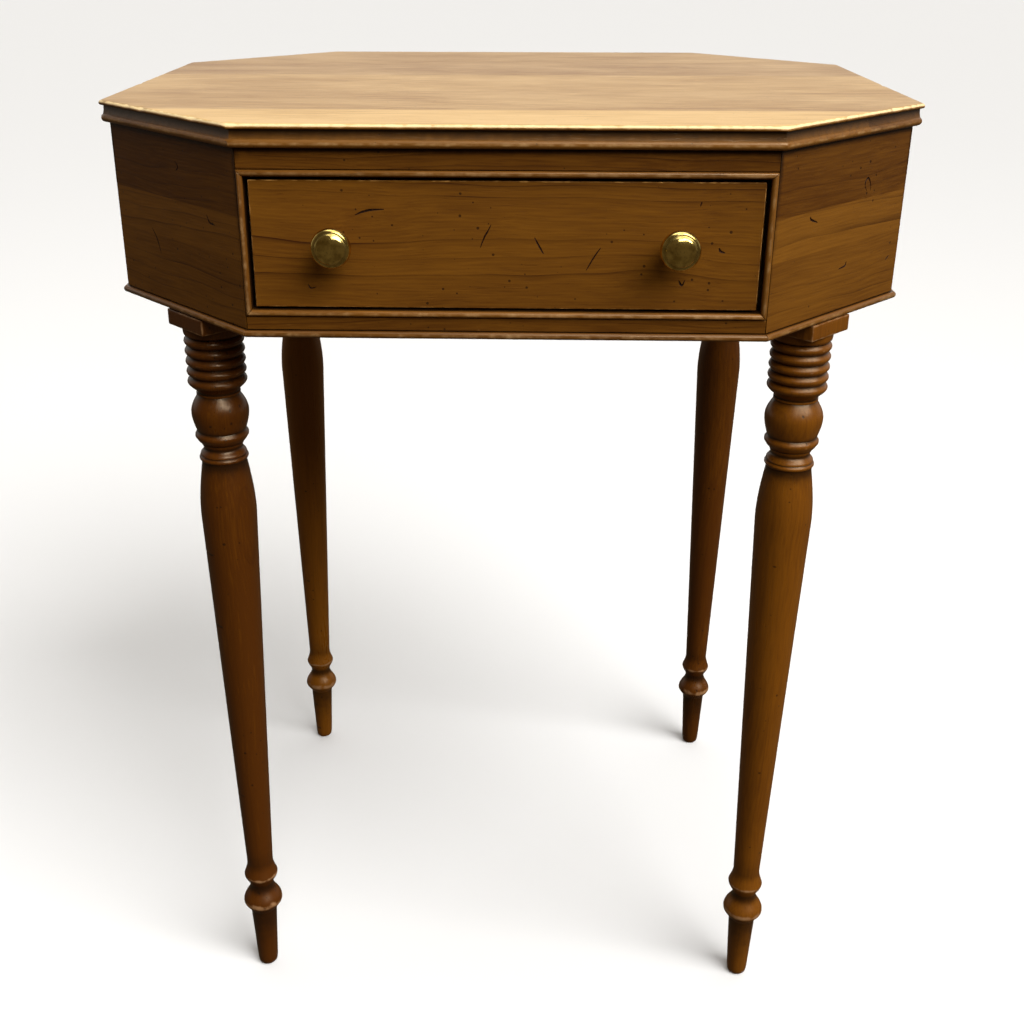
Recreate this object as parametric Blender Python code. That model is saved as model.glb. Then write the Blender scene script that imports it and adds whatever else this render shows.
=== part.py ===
"""Octagonal occasional table: a joined case with one dovetailed drawer on four bolted, turned legs.

Metres, +Z up, the drawer opens towards -Y. The origin is on the floor, under the middle of the
table's box with its knobs counted in.
"""
import math

import bmesh
import bpy

# Gaps between neighbours: a glue line or a hand-fitted joint, and the drawer's running room.
FIT = 0.0003
DRAWER_SIDE_ROOM = 0.0025
DRAWER_TOP_ROOM = 0.0020
DRAWER_BOTTOM_ROOM = 0.0017
GUIDE_ROOM = 0.0006
BAY_ROOM = 0.0030
NUT_ROOM = 0.0005

# Top: a clipped rectangle whose edge is worked as a nose, a quirk, a band and a bead.
TABLE_HEIGHT = 0.660
TOP_WIDTH = 0.510
TOP_DEPTH = 0.440
TOP_CORNER_CUT = 0.1015
NOSE_HEIGHT = 0.0030
QUIRK_HEIGHT = 0.0006
QUIRK_DEPTH = 0.0025
BAND_HEIGHT = 0.0046
EDGE_BEAD_HEIGHT = 0.0053
EDGE_BEAD_SET = 0.0005
ARRIS = 0.0006

# Case: eight walls between the top and the base strips.
TOP_OVERHANG = 0.0050
CASE_HEIGHT = 0.109
WALL = 0.012
UPPER_RAIL_HEIGHT = 0.0118
LOWER_RAIL_HEIGHT = 0.0082
COCK_BEAD = 0.0040
COCK_BEAD_PROUD = 0.0020
BASE_STRIP_HEIGHT = 0.0042
BASE_STRIP_PROUD = 0.0029

# Corner blocks inside the case, which take the bolts of the legs.
CORNER_BLOCK_WIDTH = 0.090
CORNER_BLOCK_DEPTH = 0.036
CORNER_BLOCK_HEIGHT = 0.048

# Legs: a square block, then turnings down to the foot.
LEG_BLOCK = 0.040
LEG_BLOCK_HEIGHT = 0.0105
LEG_SIDE_SHIFT = 0.0025
SHOULDER_HEIGHT = 0.0060
RING_COUNT = 5
RING_PITCH = 0.0068
RING_RADIUS = 0.0191
RING_GROOVE_RADIUS = 0.0168
FILLET_DROP = 0.0042
FILLET_HEIGHT = 0.0012
FILLET_RADIUS = 0.0137
BALL_HEIGHT = 0.0253
BALL_RADIUS = 0.0186
BALL_TOP_RADIUS = 0.0133
BALL_BOTTOM_RADIUS = 0.0159
DISC_SLOPE = 0.0022
DISC_RIM = 0.0022
DISC_RADIUS = 0.0174
NECK_DROP = 0.0076
NECK_RADIUS = 0.0125
REEL_HEIGHT = 0.0052
REEL_RADIUS = 0.0152
COLLAR_HEIGHT = 0.0040
COLLAR_RADIUS = 0.0161
COLLAR_DROP = 0.0023
SHAFT_TOP_RADIUS = 0.0149
SHAFT_SWELL_DROP = 0.036
SHAFT_SWELL_RADIUS = 0.0186
ANKLE_RADIUS = 0.0097
ANKLE_FLARE = 0.0120
ANKLE_BEAD_RADIUS = 0.0126
ANKLE_BEAD_DROP = 0.0105
ANKLE_NECK_RADIUS = 0.0088
FOOT_BEAD_SLOPE = 0.0150
FOOT_BEAD_DROP = 0.0095
FOOT_BEAD_RADIUS = 0.0147
FOOT_HEIGHT = 0.0540
FOOT_TOP_RADIUS = 0.0098
FOOT_RADIUS = 0.0076
FOOT_ROUNDING = 0.0055
FOOT_FLAT_RADIUS = 0.0055

# Hanger bolts, flanged nuts and screws.
BOLT_RADIUS = 0.0025
BOLT_IN_LEG = 0.036
BOLT_ABOVE_NUT = 0.0030
BOLT_POINT = 0.0050
NUT_HEIGHT = 0.0047
NUT_FLATS = 0.0080
NUT_FLANGE_PROUD = 0.0006
NUT_FLANGE_HEIGHT = 0.0015
SCREW_RADIUS = 0.0020
SCREW_HEAD_RADIUS = 0.0040
SCREW_HEAD_HEIGHT = 0.0024
TOP_SCREW_BITE = 0.0080
TOP_SCREW_INSET = 0.073

# What carries and stops the drawer inside the case.
RUNNER_WIDTH = 0.022
GUIDE_HEIGHT = 0.020
KICKER_WIDTH = 0.022
STOP_INSET = 0.055
STOP_WIDTH = 0.020
STOP_DEPTH = 0.0095
STOP_MARGIN = 0.0012
STOP_ROOM = 0.0035

# Drawer.
DRAWER_RECESS = 0.0010
DRAWER_BACK_ROOM = 0.019
DRAWER_FRONT_THICKNESS = 0.018
DRAWER_FRONT_LAP = 0.0060
DRAWER_SIDE_THICKNESS = 0.010
DRAWER_SIDE_DROP = 0.0026
DRAWER_SIDE_SET = 0.0005
DRAWER_BACK_THICKNESS = 0.010
DRAWER_BACK_SET = 0.0060
DRAWER_BACK_DROP = 0.0040
DRAWER_BOTTOM_THICKNESS = 0.0042
DRAWER_BOTTOM_RISE = 0.0085
GROOVE_DEPTH = 0.0040
TAIL_COUNT = 3
PIN_WIDTH = 0.0065
TAIL_FLARE = 0.0020

# Knobs.
KNOB_INSET = 0.0475
KNOB_RISE = 0.0018
KNOB_RADIUS = 0.0115
KNOB_REACH = 0.0225
KNOB_HEAD_DEPTH = 0.0125
KNOB_RIM_DROP = 0.0046
KNOB_STEM_RADIUS = 0.0046
KNOB_FLANGE_RADIUS = 0.0066
KNOB_FLANGE_HEIGHT = 0.0022
KNOB_SCREW_BITE = 0.0080
KNOB_BORE_ROOM = 0.0015

# How finely the curves are drawn.
TURNED_SIDES = 16
KNOB_SIDES = 20
HARDWARE_SIDES = 12
CURVE_STEPS = 4
NOSE_STEPS = 6
SMOOTH_ANGLE = math.radians(35)
MERGE_DISTANCE = 0.00001

# Levels and plan sizes that follow from the sizes above.
MITRE = math.tan(math.radians(22.5))
top_thickness = NOSE_HEIGHT + QUIRK_HEIGHT + BAND_HEIGHT + EDGE_BEAD_HEIGHT
case_top = TABLE_HEIGHT - top_thickness
case_bottom = case_top - CASE_HEIGHT
wall_bottom = case_bottom + BASE_STRIP_HEIGHT
lower_rail_top = wall_bottom + LOWER_RAIL_HEIGHT
upper_rail_bottom = case_top - UPPER_RAIL_HEIGHT
opening_bottom = lower_rail_top + COCK_BEAD
opening_top = upper_rail_bottom - COCK_BEAD

case_half_width = TOP_WIDTH / 2 - TOP_OVERHANG
case_half_depth = TOP_DEPTH / 2 - TOP_OVERHANG
front_half = TOP_WIDTH / 2 - TOP_CORNER_CUT - TOP_OVERHANG * MITRE
side_half = TOP_DEPTH / 2 - TOP_CORNER_CUT - TOP_OVERHANG * MITRE
corner_length = math.hypot(case_half_width - front_half, case_half_depth - side_half)
opening_half = front_half - COCK_BEAD
bay_half = front_half - FIT
rail_back_y = -case_half_depth + WALL
back_panel_y = case_half_depth - WALL

drawer_half = opening_half - DRAWER_SIDE_ROOM
drawer_bottom = opening_bottom + DRAWER_BOTTOM_ROOM
drawer_front_height = opening_top - DRAWER_TOP_ROOM - drawer_bottom
drawer_face_y = -case_half_depth + DRAWER_RECESS
drawer_length = back_panel_y - drawer_face_y - DRAWER_BACK_ROOM
drawer_side_height = drawer_front_height - DRAWER_SIDE_DROP
side_outer = drawer_half - DRAWER_SIDE_SET
side_inner = side_outer - DRAWER_SIDE_THICKNESS
drawer_back_y = drawer_length - DRAWER_BACK_SET - DRAWER_BACK_THICKNESS
groove_top = DRAWER_BOTTOM_RISE + DRAWER_BOTTOM_THICKNESS + 2 * FIT
stop_front_y = drawer_face_y + DRAWER_FRONT_THICKNESS + FIT
stop_back_y = stop_front_y + STOP_DEPTH
stop_top = drawer_bottom + DRAWER_BOTTOM_RISE - STOP_ROOM
lower_rail_back_y = stop_back_y + STOP_MARGIN
runner_top = drawer_bottom - FIT
guide_inner = side_outer + GUIDE_ROOM

nut_corner = NUT_FLATS / math.sqrt(3)
nut_flange_radius = nut_corner + NUT_FLANGE_PROUD
leg_axis_depth = WALL + nut_flange_radius + NUT_ROOM
front_reach = -drawer_face_y + KNOB_REACH
frame_shift = (front_reach - TOP_DEPTH / 2) / 2


def clear_scene():
    """Start from an empty scene."""
    for old in list(bpy.data.objects):
        bpy.data.objects.remove(old, do_unlink=True)


def finish(mesh_name, shape):
    """Turn a bmesh into a mesh whose faces point outwards."""
    bmesh.ops.recalc_face_normals(shape, faces=shape.faces)
    mesh = bpy.data.meshes.new(mesh_name)
    shape.to_mesh(mesh)
    shape.free()
    return mesh


def bridged(mesh_name, loops):
    """A closed solid through loops of points with equal counts, with flat ends."""
    shape = bmesh.new()
    rings = [[shape.verts.new(point) for point in loop] for loop in loops]
    count = len(rings[0])
    for upper, lower in zip(rings, rings[1:]):
        for i in range(count):
            j = (i + 1) % count
            shape.faces.new((upper[i], upper[j], lower[j], lower[i]))
    shape.faces.new(rings[0])
    shape.faces.new(rings[-1])
    return finish(mesh_name, shape)


def prism(mesh_name, outline, low, high, axis="Z"):
    """An outline carried from low to high along an axis; the outline holds the other two in XYZ order."""
    def place(point, level):
        first, second = point
        if axis == "X":
            return (level, first, second)
        return (first, second, level)
    return bridged(mesh_name, [[place(p, low) for p in outline], [place(p, high) for p in outline]])


def block(mesh_name, low, high):
    """A plain rectangular piece between two opposite corners."""
    outline = [(low[0], low[1]), (high[0], low[1]), (high[0], high[1]), (low[0], high[1])]
    return prism(mesh_name, outline, low[2], high[2])


def turned(mesh_name, profile, sides):
    """A lathe piece about Z from (radius, height) points that start and end on the axis."""
    shape = bmesh.new()
    points = [shape.verts.new((radius, 0.0, height)) for radius, height in profile]
    edges = [shape.edges.new(pair) for pair in zip(points, points[1:])]
    bmesh.ops.spin(shape, geom=points + edges, cent=(0, 0, 0), axis=(0, 0, 1),
                   angle=2 * math.pi, steps=sides, use_merge=True)
    bmesh.ops.remove_doubles(shape, verts=shape.verts, dist=MERGE_DISTANCE)
    return finish(mesh_name, shape)


def combined(mesh, operations):
    """A mesh after joining or cutting it with others, in turn."""
    body = bpy.data.objects.new("shaping_body", mesh)
    bpy.context.collection.objects.link(body)
    tools = []
    for operation, tool_mesh in operations:
        tool = bpy.data.objects.new("shaping_tool", tool_mesh)
        tool.hide_render = True
        tool.display_type = "WIRE"
        bpy.context.collection.objects.link(tool)
        step = body.modifiers.new(operation.lower(), "BOOLEAN")
        step.operation = operation
        step.solver = "EXACT"
        step.object = tool
        tools.append(tool)
    evaluated = body.evaluated_get(bpy.context.evaluated_depsgraph_get())
    result = bpy.data.meshes.new_from_object(evaluated)
    result.name = mesh.name
    for used in tools + [body]:
        bpy.data.objects.remove(used, do_unlink=True)
    return result


def finish_material(name, colour, roughness, metallic=0.0):
    """A plain finish with the colour of the real piece."""
    material = bpy.data.materials.new(name)
    material.use_nodes = True
    shader = material.node_tree.nodes["Principled BSDF"]
    shader.inputs["Base Color"].default_value = (*colour, 1.0)
    shader.inputs["Roughness"].default_value = roughness
    shader.inputs["Metallic"].default_value = metallic
    return material


def add_part(name, mesh, material, parent, location=(0, 0, 0), rotation=(0, 0, 0), smooth=False):
    """Place a named piece under its parent."""
    part = bpy.data.objects.new(name, mesh)
    part.data.name = name
    if not part.data.materials:
        part.data.materials.append(material)
    if smooth:
        part.data.shade_smooth()
        part.data.set_sharp_from_angle(angle=SMOOTH_ANGLE)
    part.parent = parent
    part.location = location
    part.rotation_euler = rotation
    bpy.context.collection.objects.link(part)
    return part


def add_empty(name, parent=None, location=(0, 0, 0)):
    """A frame that carries pieces."""
    empty = bpy.data.objects.new(name, None)
    empty.parent = parent
    empty.location = location
    bpy.context.collection.objects.link(empty)
    return empty


def bulge(inner, outer, top, bottom):
    """Points down a rounded bead that leaves and meets the inner radius."""
    points = []
    for i in range(CURVE_STEPS + 1):
        turn = i / CURVE_STEPS
        points.append((inner + (outer - inner) * math.sin(math.pi * turn), top + (bottom - top) * turn))
    return points


def swell(start, end, top, bottom, quarter):
    """Points down a curve: 'out' leaves steeply, 'in' arrives steeply, and 'ogee' does neither."""
    points = []
    for i in range(CURVE_STEPS + 1):
        turn = i / CURVE_STEPS
        if quarter == "out":
            share = math.sin(turn * math.pi / 2)
        elif quarter == "in":
            share = 1 - math.cos(turn * math.pi / 2)
        else:
            share = (1 - math.cos(turn * math.pi)) / 2
        points.append((start + (end - start) * share, top + (bottom - top) * turn))
    return points


def round_nose(height, proud, top):
    """Points (y, z) down the half-round front of a strip that stands proud of the plane y = 0."""
    nose = height / 2
    points = []
    for i in range(NOSE_STEPS + 1):
        turn = math.pi * i / NOSE_STEPS
        points.append((-proud + nose * (1 - math.sin(turn)), top - nose * (1 - math.cos(turn))))
    return points


# Plan of the corners: name, angle of the outward face, and the signs of its X and Y.
CORNERS = (
    ("front_left", -45, -1, -1),
    ("front_right", 45, 1, -1),
    ("rear_left", -135, -1, 1),
    ("rear_right", 135, 1, 1),
)


def corner_place(sign_x, sign_y, inward=0.0, forward=0.0):
    """A point at a corner wall: inward from its outer face, and shifted towards the front or back wall."""
    middle_x = (case_half_width + front_half) / 2
    middle_y = (case_half_depth + side_half) / 2
    diagonal = math.sqrt(0.5)
    x = middle_x - (inward + forward) * diagonal
    y = middle_y - (inward - forward) * diagonal
    return (sign_x * x, sign_y * y)


def octagon(inset, height):
    """The top's outline drawn in by an inset, at a height."""
    half_width = TOP_WIDTH / 2 - inset
    half_depth = TOP_DEPTH / 2 - inset
    long_half = TOP_WIDTH / 2 - TOP_CORNER_CUT - inset * MITRE
    short_half = TOP_DEPTH / 2 - TOP_CORNER_CUT - inset * MITRE
    quarter = [(long_half, -half_depth), (half_width, -short_half)]
    right = quarter + [(x, -y) for x, y in reversed(quarter)]
    around = right + [(-x, y) for x, y in reversed(right)]
    return [(x, y, height) for x, y in around]


def screw_places():
    """Where the four top screws stand: two along each kicker."""
    x = bay_half - KICKER_WIDTH / 2
    y = back_panel_y - FIT - TOP_SCREW_INSET
    return [(sx * x, sy * y) for sx in (-1, 1) for sy in (-1, 1)]


def moved(mesh, x, y):
    """Shift a mesh in plan."""
    for vertex in mesh.vertices:
        vertex.co.x += x
        vertex.co.y += y
    return mesh


def rod(radius, low, high, sides=HARDWARE_SIDES):
    """A round bar along Z."""
    return turned("rod", [(0, high), (radius, high), (radius, low), (0, low)], sides)


def top_panel():
    """Glued-up boards, with the edge moulding worked on them and blind holes for the screws below."""
    quirk_top = TABLE_HEIGHT - NOSE_HEIGHT
    band_top = quirk_top - QUIRK_HEIGHT
    levels = [(ARRIS, TABLE_HEIGHT), (0.0, TABLE_HEIGHT - ARRIS)]
    levels += [(0.0, quirk_top), (QUIRK_DEPTH, band_top)]
    levels += round_nose(EDGE_BEAD_HEIGHT, -EDGE_BEAD_SET, band_top - BAND_HEIGHT)[1:]
    mesh = bridged("top_panel", [octagon(inset, height) for inset, height in levels])
    hole_top = case_top + TOP_SCREW_BITE + FIT
    holes = [moved(rod(SCREW_RADIUS + FIT, case_top - FIT, hole_top), x, y) for x, y in screw_places()]
    return combined(mesh, [("DIFFERENCE", hole) for hole in holes])


def corner_wall():
    """A straight board whose ends are cut to stand square against the front, back and side walls."""
    half = corner_length / 2
    outline = [(-half, 0), (half, 0), (half - WALL, WALL), (-half + WALL, WALL)]
    return prism("corner_wall", outline, wall_bottom + FIT, case_top - FIT)


def base_strip(length):
    """A flat strip under a wall with a rounded nose, mitred to its neighbours."""
    profile = [(WALL, case_bottom), (WALL, wall_bottom)]
    profile += round_nose(BASE_STRIP_HEIGHT, BASE_STRIP_PROUD, wall_bottom)
    ends = []
    for side in (-1, 1):
        ends.append([(side * (length / 2 - y * MITRE - FIT / 2), y, z) for y, z in profile])
    return bridged("base_strip", ends)


def cock_bead(outer_length):
    """A thin lining strip along X with a rounded front, mitred at both ends; its outer side is up."""
    profile = [(WALL, -COCK_BEAD), (WALL, -FIT)]
    profile += round_nose(COCK_BEAD - FIT, COCK_BEAD_PROUD, -FIT)
    ends = []
    for side in (-1, 1):
        ends.append([(side * (outer_length / 2 + z - FIT / 2), y, z) for y, z in profile])
    return bridged("cock_bead", ends)


def corner_block():
    """A glue block behind a corner wall, clipped to leave the drawer's bay free, bored for the bolt."""
    near = WALL + FIT
    far = near + CORNER_BLOCK_DEPTH
    half = CORNER_BLOCK_WIDTH / 2
    room = corner_length / 2 - BAY_ROOM
    near_half = min(half, room - near)
    far_half = min(half, room - far)
    bend = max(near, room - near_half)
    outline = [(-near_half, near), (near_half, near)]
    if bend > near:
        outline.append((near_half, bend))
    outline += [(far_half, far), (-far_half, far)]
    if bend > near:
        outline.append((-near_half, bend))
    top = case_bottom + CORNER_BLOCK_HEIGHT
    return prism("corner_block", outline, case_bottom, top)


def bored_corner_block(sign_x, sign_y):
    """The glue block with its bolt hole, whose place along the wall depends on the corner."""
    side = -sign_x * sign_y
    hole = rod(BOLT_RADIUS + FIT, case_bottom - FIT, case_bottom + CORNER_BLOCK_HEIGHT + FIT)
    moved(hole, -side * LEG_SIDE_SHIFT, leg_axis_depth)
    return combined(corner_block(), [("DIFFERENCE", hole)])


def leg_profile():
    """Radii down the leg from inside its block to the floor."""
    block_bottom = case_bottom - LEG_BLOCK_HEIGHT
    start = block_bottom + LEG_BLOCK_HEIGHT / 2
    points = [(0, start), (RING_RADIUS, start)]
    z = block_bottom - SHOULDER_HEIGHT
    for _ in range(RING_COUNT):
        points += bulge(RING_GROOVE_RADIUS, RING_RADIUS, z, z - RING_PITCH)[:-1]
        z -= RING_PITCH
    points.append((RING_GROOVE_RADIUS, z))
    z -= FILLET_DROP
    points += [(FILLET_RADIUS, z), (FILLET_RADIUS, z - FILLET_HEIGHT)]
    z -= FILLET_HEIGHT
    waist = z - BALL_HEIGHT / 2
    points += swell(BALL_TOP_RADIUS, BALL_RADIUS, z, waist, "out")
    z -= BALL_HEIGHT
    points += swell(BALL_RADIUS, BALL_BOTTOM_RADIUS, waist, z, "in")[1:]
    z -= DISC_SLOPE
    points += [(DISC_RADIUS, z), (DISC_RADIUS, z - DISC_RIM)]
    z -= DISC_RIM + NECK_DROP
    points += [(NECK_RADIUS, z), (REEL_RADIUS, z - REEL_HEIGHT)]
    z -= REEL_HEIGHT
    points += bulge(REEL_RADIUS, COLLAR_RADIUS, z, z - COLLAR_HEIGHT)[1:]
    z -= COLLAR_HEIGHT + COLLAR_DROP
    swell_z = z - SHAFT_SWELL_DROP
    points += swell(SHAFT_TOP_RADIUS, SHAFT_SWELL_RADIUS, z, swell_z, "out")
    neck_z = FOOT_HEIGHT + FOOT_BEAD_DROP + FOOT_BEAD_SLOPE
    ankle_z = neck_z + ANKLE_BEAD_DROP
    points += swell(ANKLE_RADIUS, ANKLE_BEAD_RADIUS, ankle_z + ANKLE_FLARE, ankle_z, "in")
    points += swell(ANKLE_BEAD_RADIUS, ANKLE_NECK_RADIUS, ankle_z, neck_z, "ogee")[1:]
    widest = FOOT_HEIGHT + FOOT_BEAD_DROP
    points += swell(ANKLE_NECK_RADIUS, FOOT_BEAD_RADIUS, neck_z, widest, "ogee")[1:]
    points += swell(FOOT_BEAD_RADIUS, FOOT_TOP_RADIUS, widest, FOOT_HEIGHT, "ogee")[1:]
    points += [(FOOT_RADIUS, FOOT_ROUNDING), (FOOT_FLAT_RADIUS, 0), (0, 0)]
    return points


def leg():
    """One turned leg with its square block, bored from above for the hanger bolt."""
    half = LEG_BLOCK / 2
    top = case_bottom - FIT
    square = block("leg_block", (-half, -half, case_bottom - LEG_BLOCK_HEIGHT), (half, half, top))
    hole = rod(BOLT_RADIUS + FIT, case_bottom - BOLT_IN_LEG - FIT, case_bottom + FIT)
    turning = turned("leg", leg_profile(), TURNED_SIDES)
    return combined(turning, [("UNION", square), ("DIFFERENCE", hole)])


def leg_bolt():
    """A hanger bolt: a pointed wood thread below and a machine thread above."""
    low = case_bottom - BOLT_IN_LEG
    high = case_bottom + CORNER_BLOCK_HEIGHT + FIT + NUT_HEIGHT + BOLT_ABOVE_NUT
    profile = [(0, high), (BOLT_RADIUS, high), (BOLT_RADIUS, low + BOLT_POINT)]
    profile += [(BOLT_RADIUS / 2, low), (0, low)]
    return turned("leg_bolt", profile, HARDWARE_SIDES)


def leg_nut():
    """A hexagon nut with a round flange."""
    low = case_bottom + CORNER_BLOCK_HEIGHT + FIT
    turns = [math.radians(60 * i) for i in range(6)]
    outline = [(nut_corner * math.cos(turn), nut_corner * math.sin(turn)) for turn in turns]
    hexagon = prism("leg_nut", outline, low + NUT_FLANGE_HEIGHT / 2, low + NUT_HEIGHT)
    flange = rod(nut_flange_radius, low, low + NUT_FLANGE_HEIGHT)
    bore = rod(BOLT_RADIUS + FIT, low - FIT, low + NUT_HEIGHT + FIT)
    return combined(hexagon, [("UNION", flange), ("DIFFERENCE", bore)])


def top_screw(grow=0.0):
    """A pan-head screw up through a kicker into the top; grown, it is the hole for itself."""
    head_low = opening_top - grow
    head_high = opening_top + SCREW_HEAD_HEIGHT + grow
    tip = case_top + TOP_SCREW_BITE
    radius = SCREW_RADIUS + grow
    head = SCREW_HEAD_RADIUS + grow
    profile = [(0, tip), (radius, tip), (radius, head_high)]
    profile += [(head, head_high), (head, head_low), (0, head_low)]
    return turned("top_screw", profile, HARDWARE_SIDES)


def kicker(side):
    """A rail under the top that keeps the drawer from tipping and holds the top's screws."""
    low_x, high_x = sorted((side * (bay_half - KICKER_WIDTH), side * bay_half))
    low = (low_x, rail_back_y + FIT, opening_top)
    high = (high_x, back_panel_y - FIT, case_top - FIT)
    cuts = [moved(top_screw(FIT), x, y) for x, y in screw_places() if x * side > 0]
    return combined(block("kicker", low, high), [("DIFFERENCE", cut) for cut in cuts])


def drawer_guide(side):
    """A strip beside the drawer; its front end stands up behind the lining bead to close the bay's corner."""
    low_z = runner_top + FIT
    low_x, high_x = sorted((side * guide_inner, side * bay_half))
    strip = block("drawer_guide", (low_x, lower_rail_back_y + FIT, low_z),
                  (high_x, back_panel_y - FIT, low_z + GUIDE_HEIGHT))
    low_x, high_x = sorted((side * opening_half, side * bay_half))
    upright = block("upright", (low_x, rail_back_y + FIT, low_z),
                    (high_x, lower_rail_back_y + GUIDE_HEIGHT, opening_top - FIT))
    return combined(strip, [("UNION", upright)])


def tail_outline(grow=0.0, socket_end=None):
    """Dovetails at the front end of a drawer side as (y, z) runs, one list for each tail."""
    shoulder = DRAWER_FRONT_THICKNESS + FIT
    tip = DRAWER_FRONT_LAP + FIT - grow
    pitch = drawer_side_height / TAIL_COUNT
    wide = (pitch - PIN_WIDTH) / 2 + grow
    narrow = wide - TAIL_FLARE
    base = shoulder if socket_end is None else socket_end
    tails = []
    for i in range(TAIL_COUNT):
        middle = (i + 0.5) * pitch
        upper = [(base, middle + narrow), (tip, middle + wide)]
        lower = [(tip, middle - wide), (base, middle - narrow)]
        tails.append(upper + lower)
    return tails


def drawer_side(side):
    """A drawer side with dovetails in front, a groove for the bottom and a housing for the back."""
    shoulder = DRAWER_FRONT_THICKNESS + FIT
    outline = [(drawer_length, 0), (drawer_length, drawer_side_height), (shoulder, drawer_side_height)]
    for tail in reversed(tail_outline()):
        outline += tail
    outline.append((shoulder, 0))
    low_x, high_x = sorted((side * side_inner, side * side_outer))
    board = prism("drawer_side", outline, low_x, high_x, "X")
    cut_inner = side * (side_inner - FIT)
    cut_outer = side * (side_inner + GROOVE_DEPTH)
    low_cut, high_cut = sorted((cut_inner, cut_outer))
    groove = block("groove", (low_cut, 0, DRAWER_BOTTOM_RISE), (high_cut, drawer_length + FIT, groove_top))
    housing = block("housing", (low_cut, drawer_back_y - FIT, groove_top - FIT),
                    (high_cut, drawer_back_y + DRAWER_BACK_THICKNESS + FIT, drawer_side_height + FIT))
    return combined(board, [("DIFFERENCE", groove), ("DIFFERENCE", housing)])


def knob_places():
    """Middles of the knobs on the drawer front, in the drawer's frame."""
    x = drawer_half - KNOB_INSET
    z = drawer_front_height / 2 + KNOB_RISE
    return [(side, side * x, z) for side in (-1, 1)]


def drawer_front():
    """The front board with half-blind sockets at its ends, a groove for the bottom and screw holes."""
    high = (drawer_half, DRAWER_FRONT_THICKNESS, drawer_front_height)
    board = block("drawer_front", (-drawer_half, 0, 0), high)
    past_back = DRAWER_FRONT_THICKNESS + 2 * FIT
    cuts = []
    for side in (-1, 1):
        low_x, high_x = sorted((side * (side_inner - FIT), side * (drawer_half + FIT)))
        for tail in tail_outline(FIT, past_back):
            cuts.append(prism("socket", tail, low_x, high_x, "X"))
    groove_half = side_inner + GROOVE_DEPTH
    cuts.append(block("groove", (-groove_half, DRAWER_FRONT_THICKNESS - GROOVE_DEPTH, DRAWER_BOTTOM_RISE),
                      (groove_half, past_back, groove_top)))
    for _, x, z in knob_places():
        hole = rod(SCREW_RADIUS + FIT, -DRAWER_FRONT_THICKNESS - 2 * FIT, 2 * FIT)
        for vertex in hole.vertices:
            vertex.co = (x + vertex.co.x, -vertex.co.z, z + vertex.co.y)
        cuts.append(hole)
    return combined(board, [("DIFFERENCE", cut) for cut in cuts])


def drawer_back():
    """A board let into the sides, standing on the bottom."""
    half = side_inner + GROOVE_DEPTH - FIT
    top = drawer_side_height - DRAWER_BACK_DROP
    return block("drawer_back", (-half, drawer_back_y, groove_top),
                 (half, drawer_back_y + DRAWER_BACK_THICKNESS, top))


def drawer_floor():
    """A thin panel held in the grooves of the front and the sides, and running under the back."""
    half = side_inner + GROOVE_DEPTH - FIT
    front = DRAWER_FRONT_THICKNESS - GROOVE_DEPTH + FIT
    low = DRAWER_BOTTOM_RISE + FIT
    return block("drawer_bottom", (-half, front, low),
                 (half, drawer_back_y + DRAWER_BACK_THICKNESS, low + DRAWER_BOTTOM_THICKNESS))


def knob():
    """A turned mushroom knob with a blind hole for its screw; its foot is on Z = 0."""
    rim = KNOB_REACH - KNOB_RIM_DROP
    neck = KNOB_REACH - KNOB_HEAD_DEPTH
    points = []
    for i in range(CURVE_STEPS + 1):
        turn = i / CURVE_STEPS * math.pi / 2
        points.append((KNOB_RADIUS * math.sin(turn), rim + KNOB_RIM_DROP * math.cos(turn)))
    points += swell(KNOB_RADIUS, KNOB_STEM_RADIUS, rim, neck, "in")[1:]
    flange_top = FIT + KNOB_FLANGE_HEIGHT
    points += [(KNOB_STEM_RADIUS, flange_top + KNOB_FLANGE_HEIGHT), (KNOB_FLANGE_RADIUS, flange_top)]
    bore = SCREW_RADIUS + FIT
    bore_end = KNOB_SCREW_BITE + KNOB_BORE_ROOM
    points += [(KNOB_FLANGE_RADIUS, FIT), (bore, FIT), (bore, bore_end), (0, bore_end)]
    return turned("knob", points, KNOB_SIDES)


def knob_screw():
    """A pan-head screw from inside the drawer, through the front and into the knob."""
    seat = -DRAWER_FRONT_THICKNESS - FIT
    low = seat - SCREW_HEAD_HEIGHT
    points = [(0, KNOB_SCREW_BITE), (SCREW_RADIUS, KNOB_SCREW_BITE), (SCREW_RADIUS, seat)]
    points += [(SCREW_HEAD_RADIUS, seat), (SCREW_HEAD_RADIUS, seat - SCREW_HEAD_HEIGHT / 2)]
    points += [(SCREW_HEAD_RADIUS / 2, low), (0, low)]
    return turned("knob_screw", points, HARDWARE_SIDES)


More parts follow.
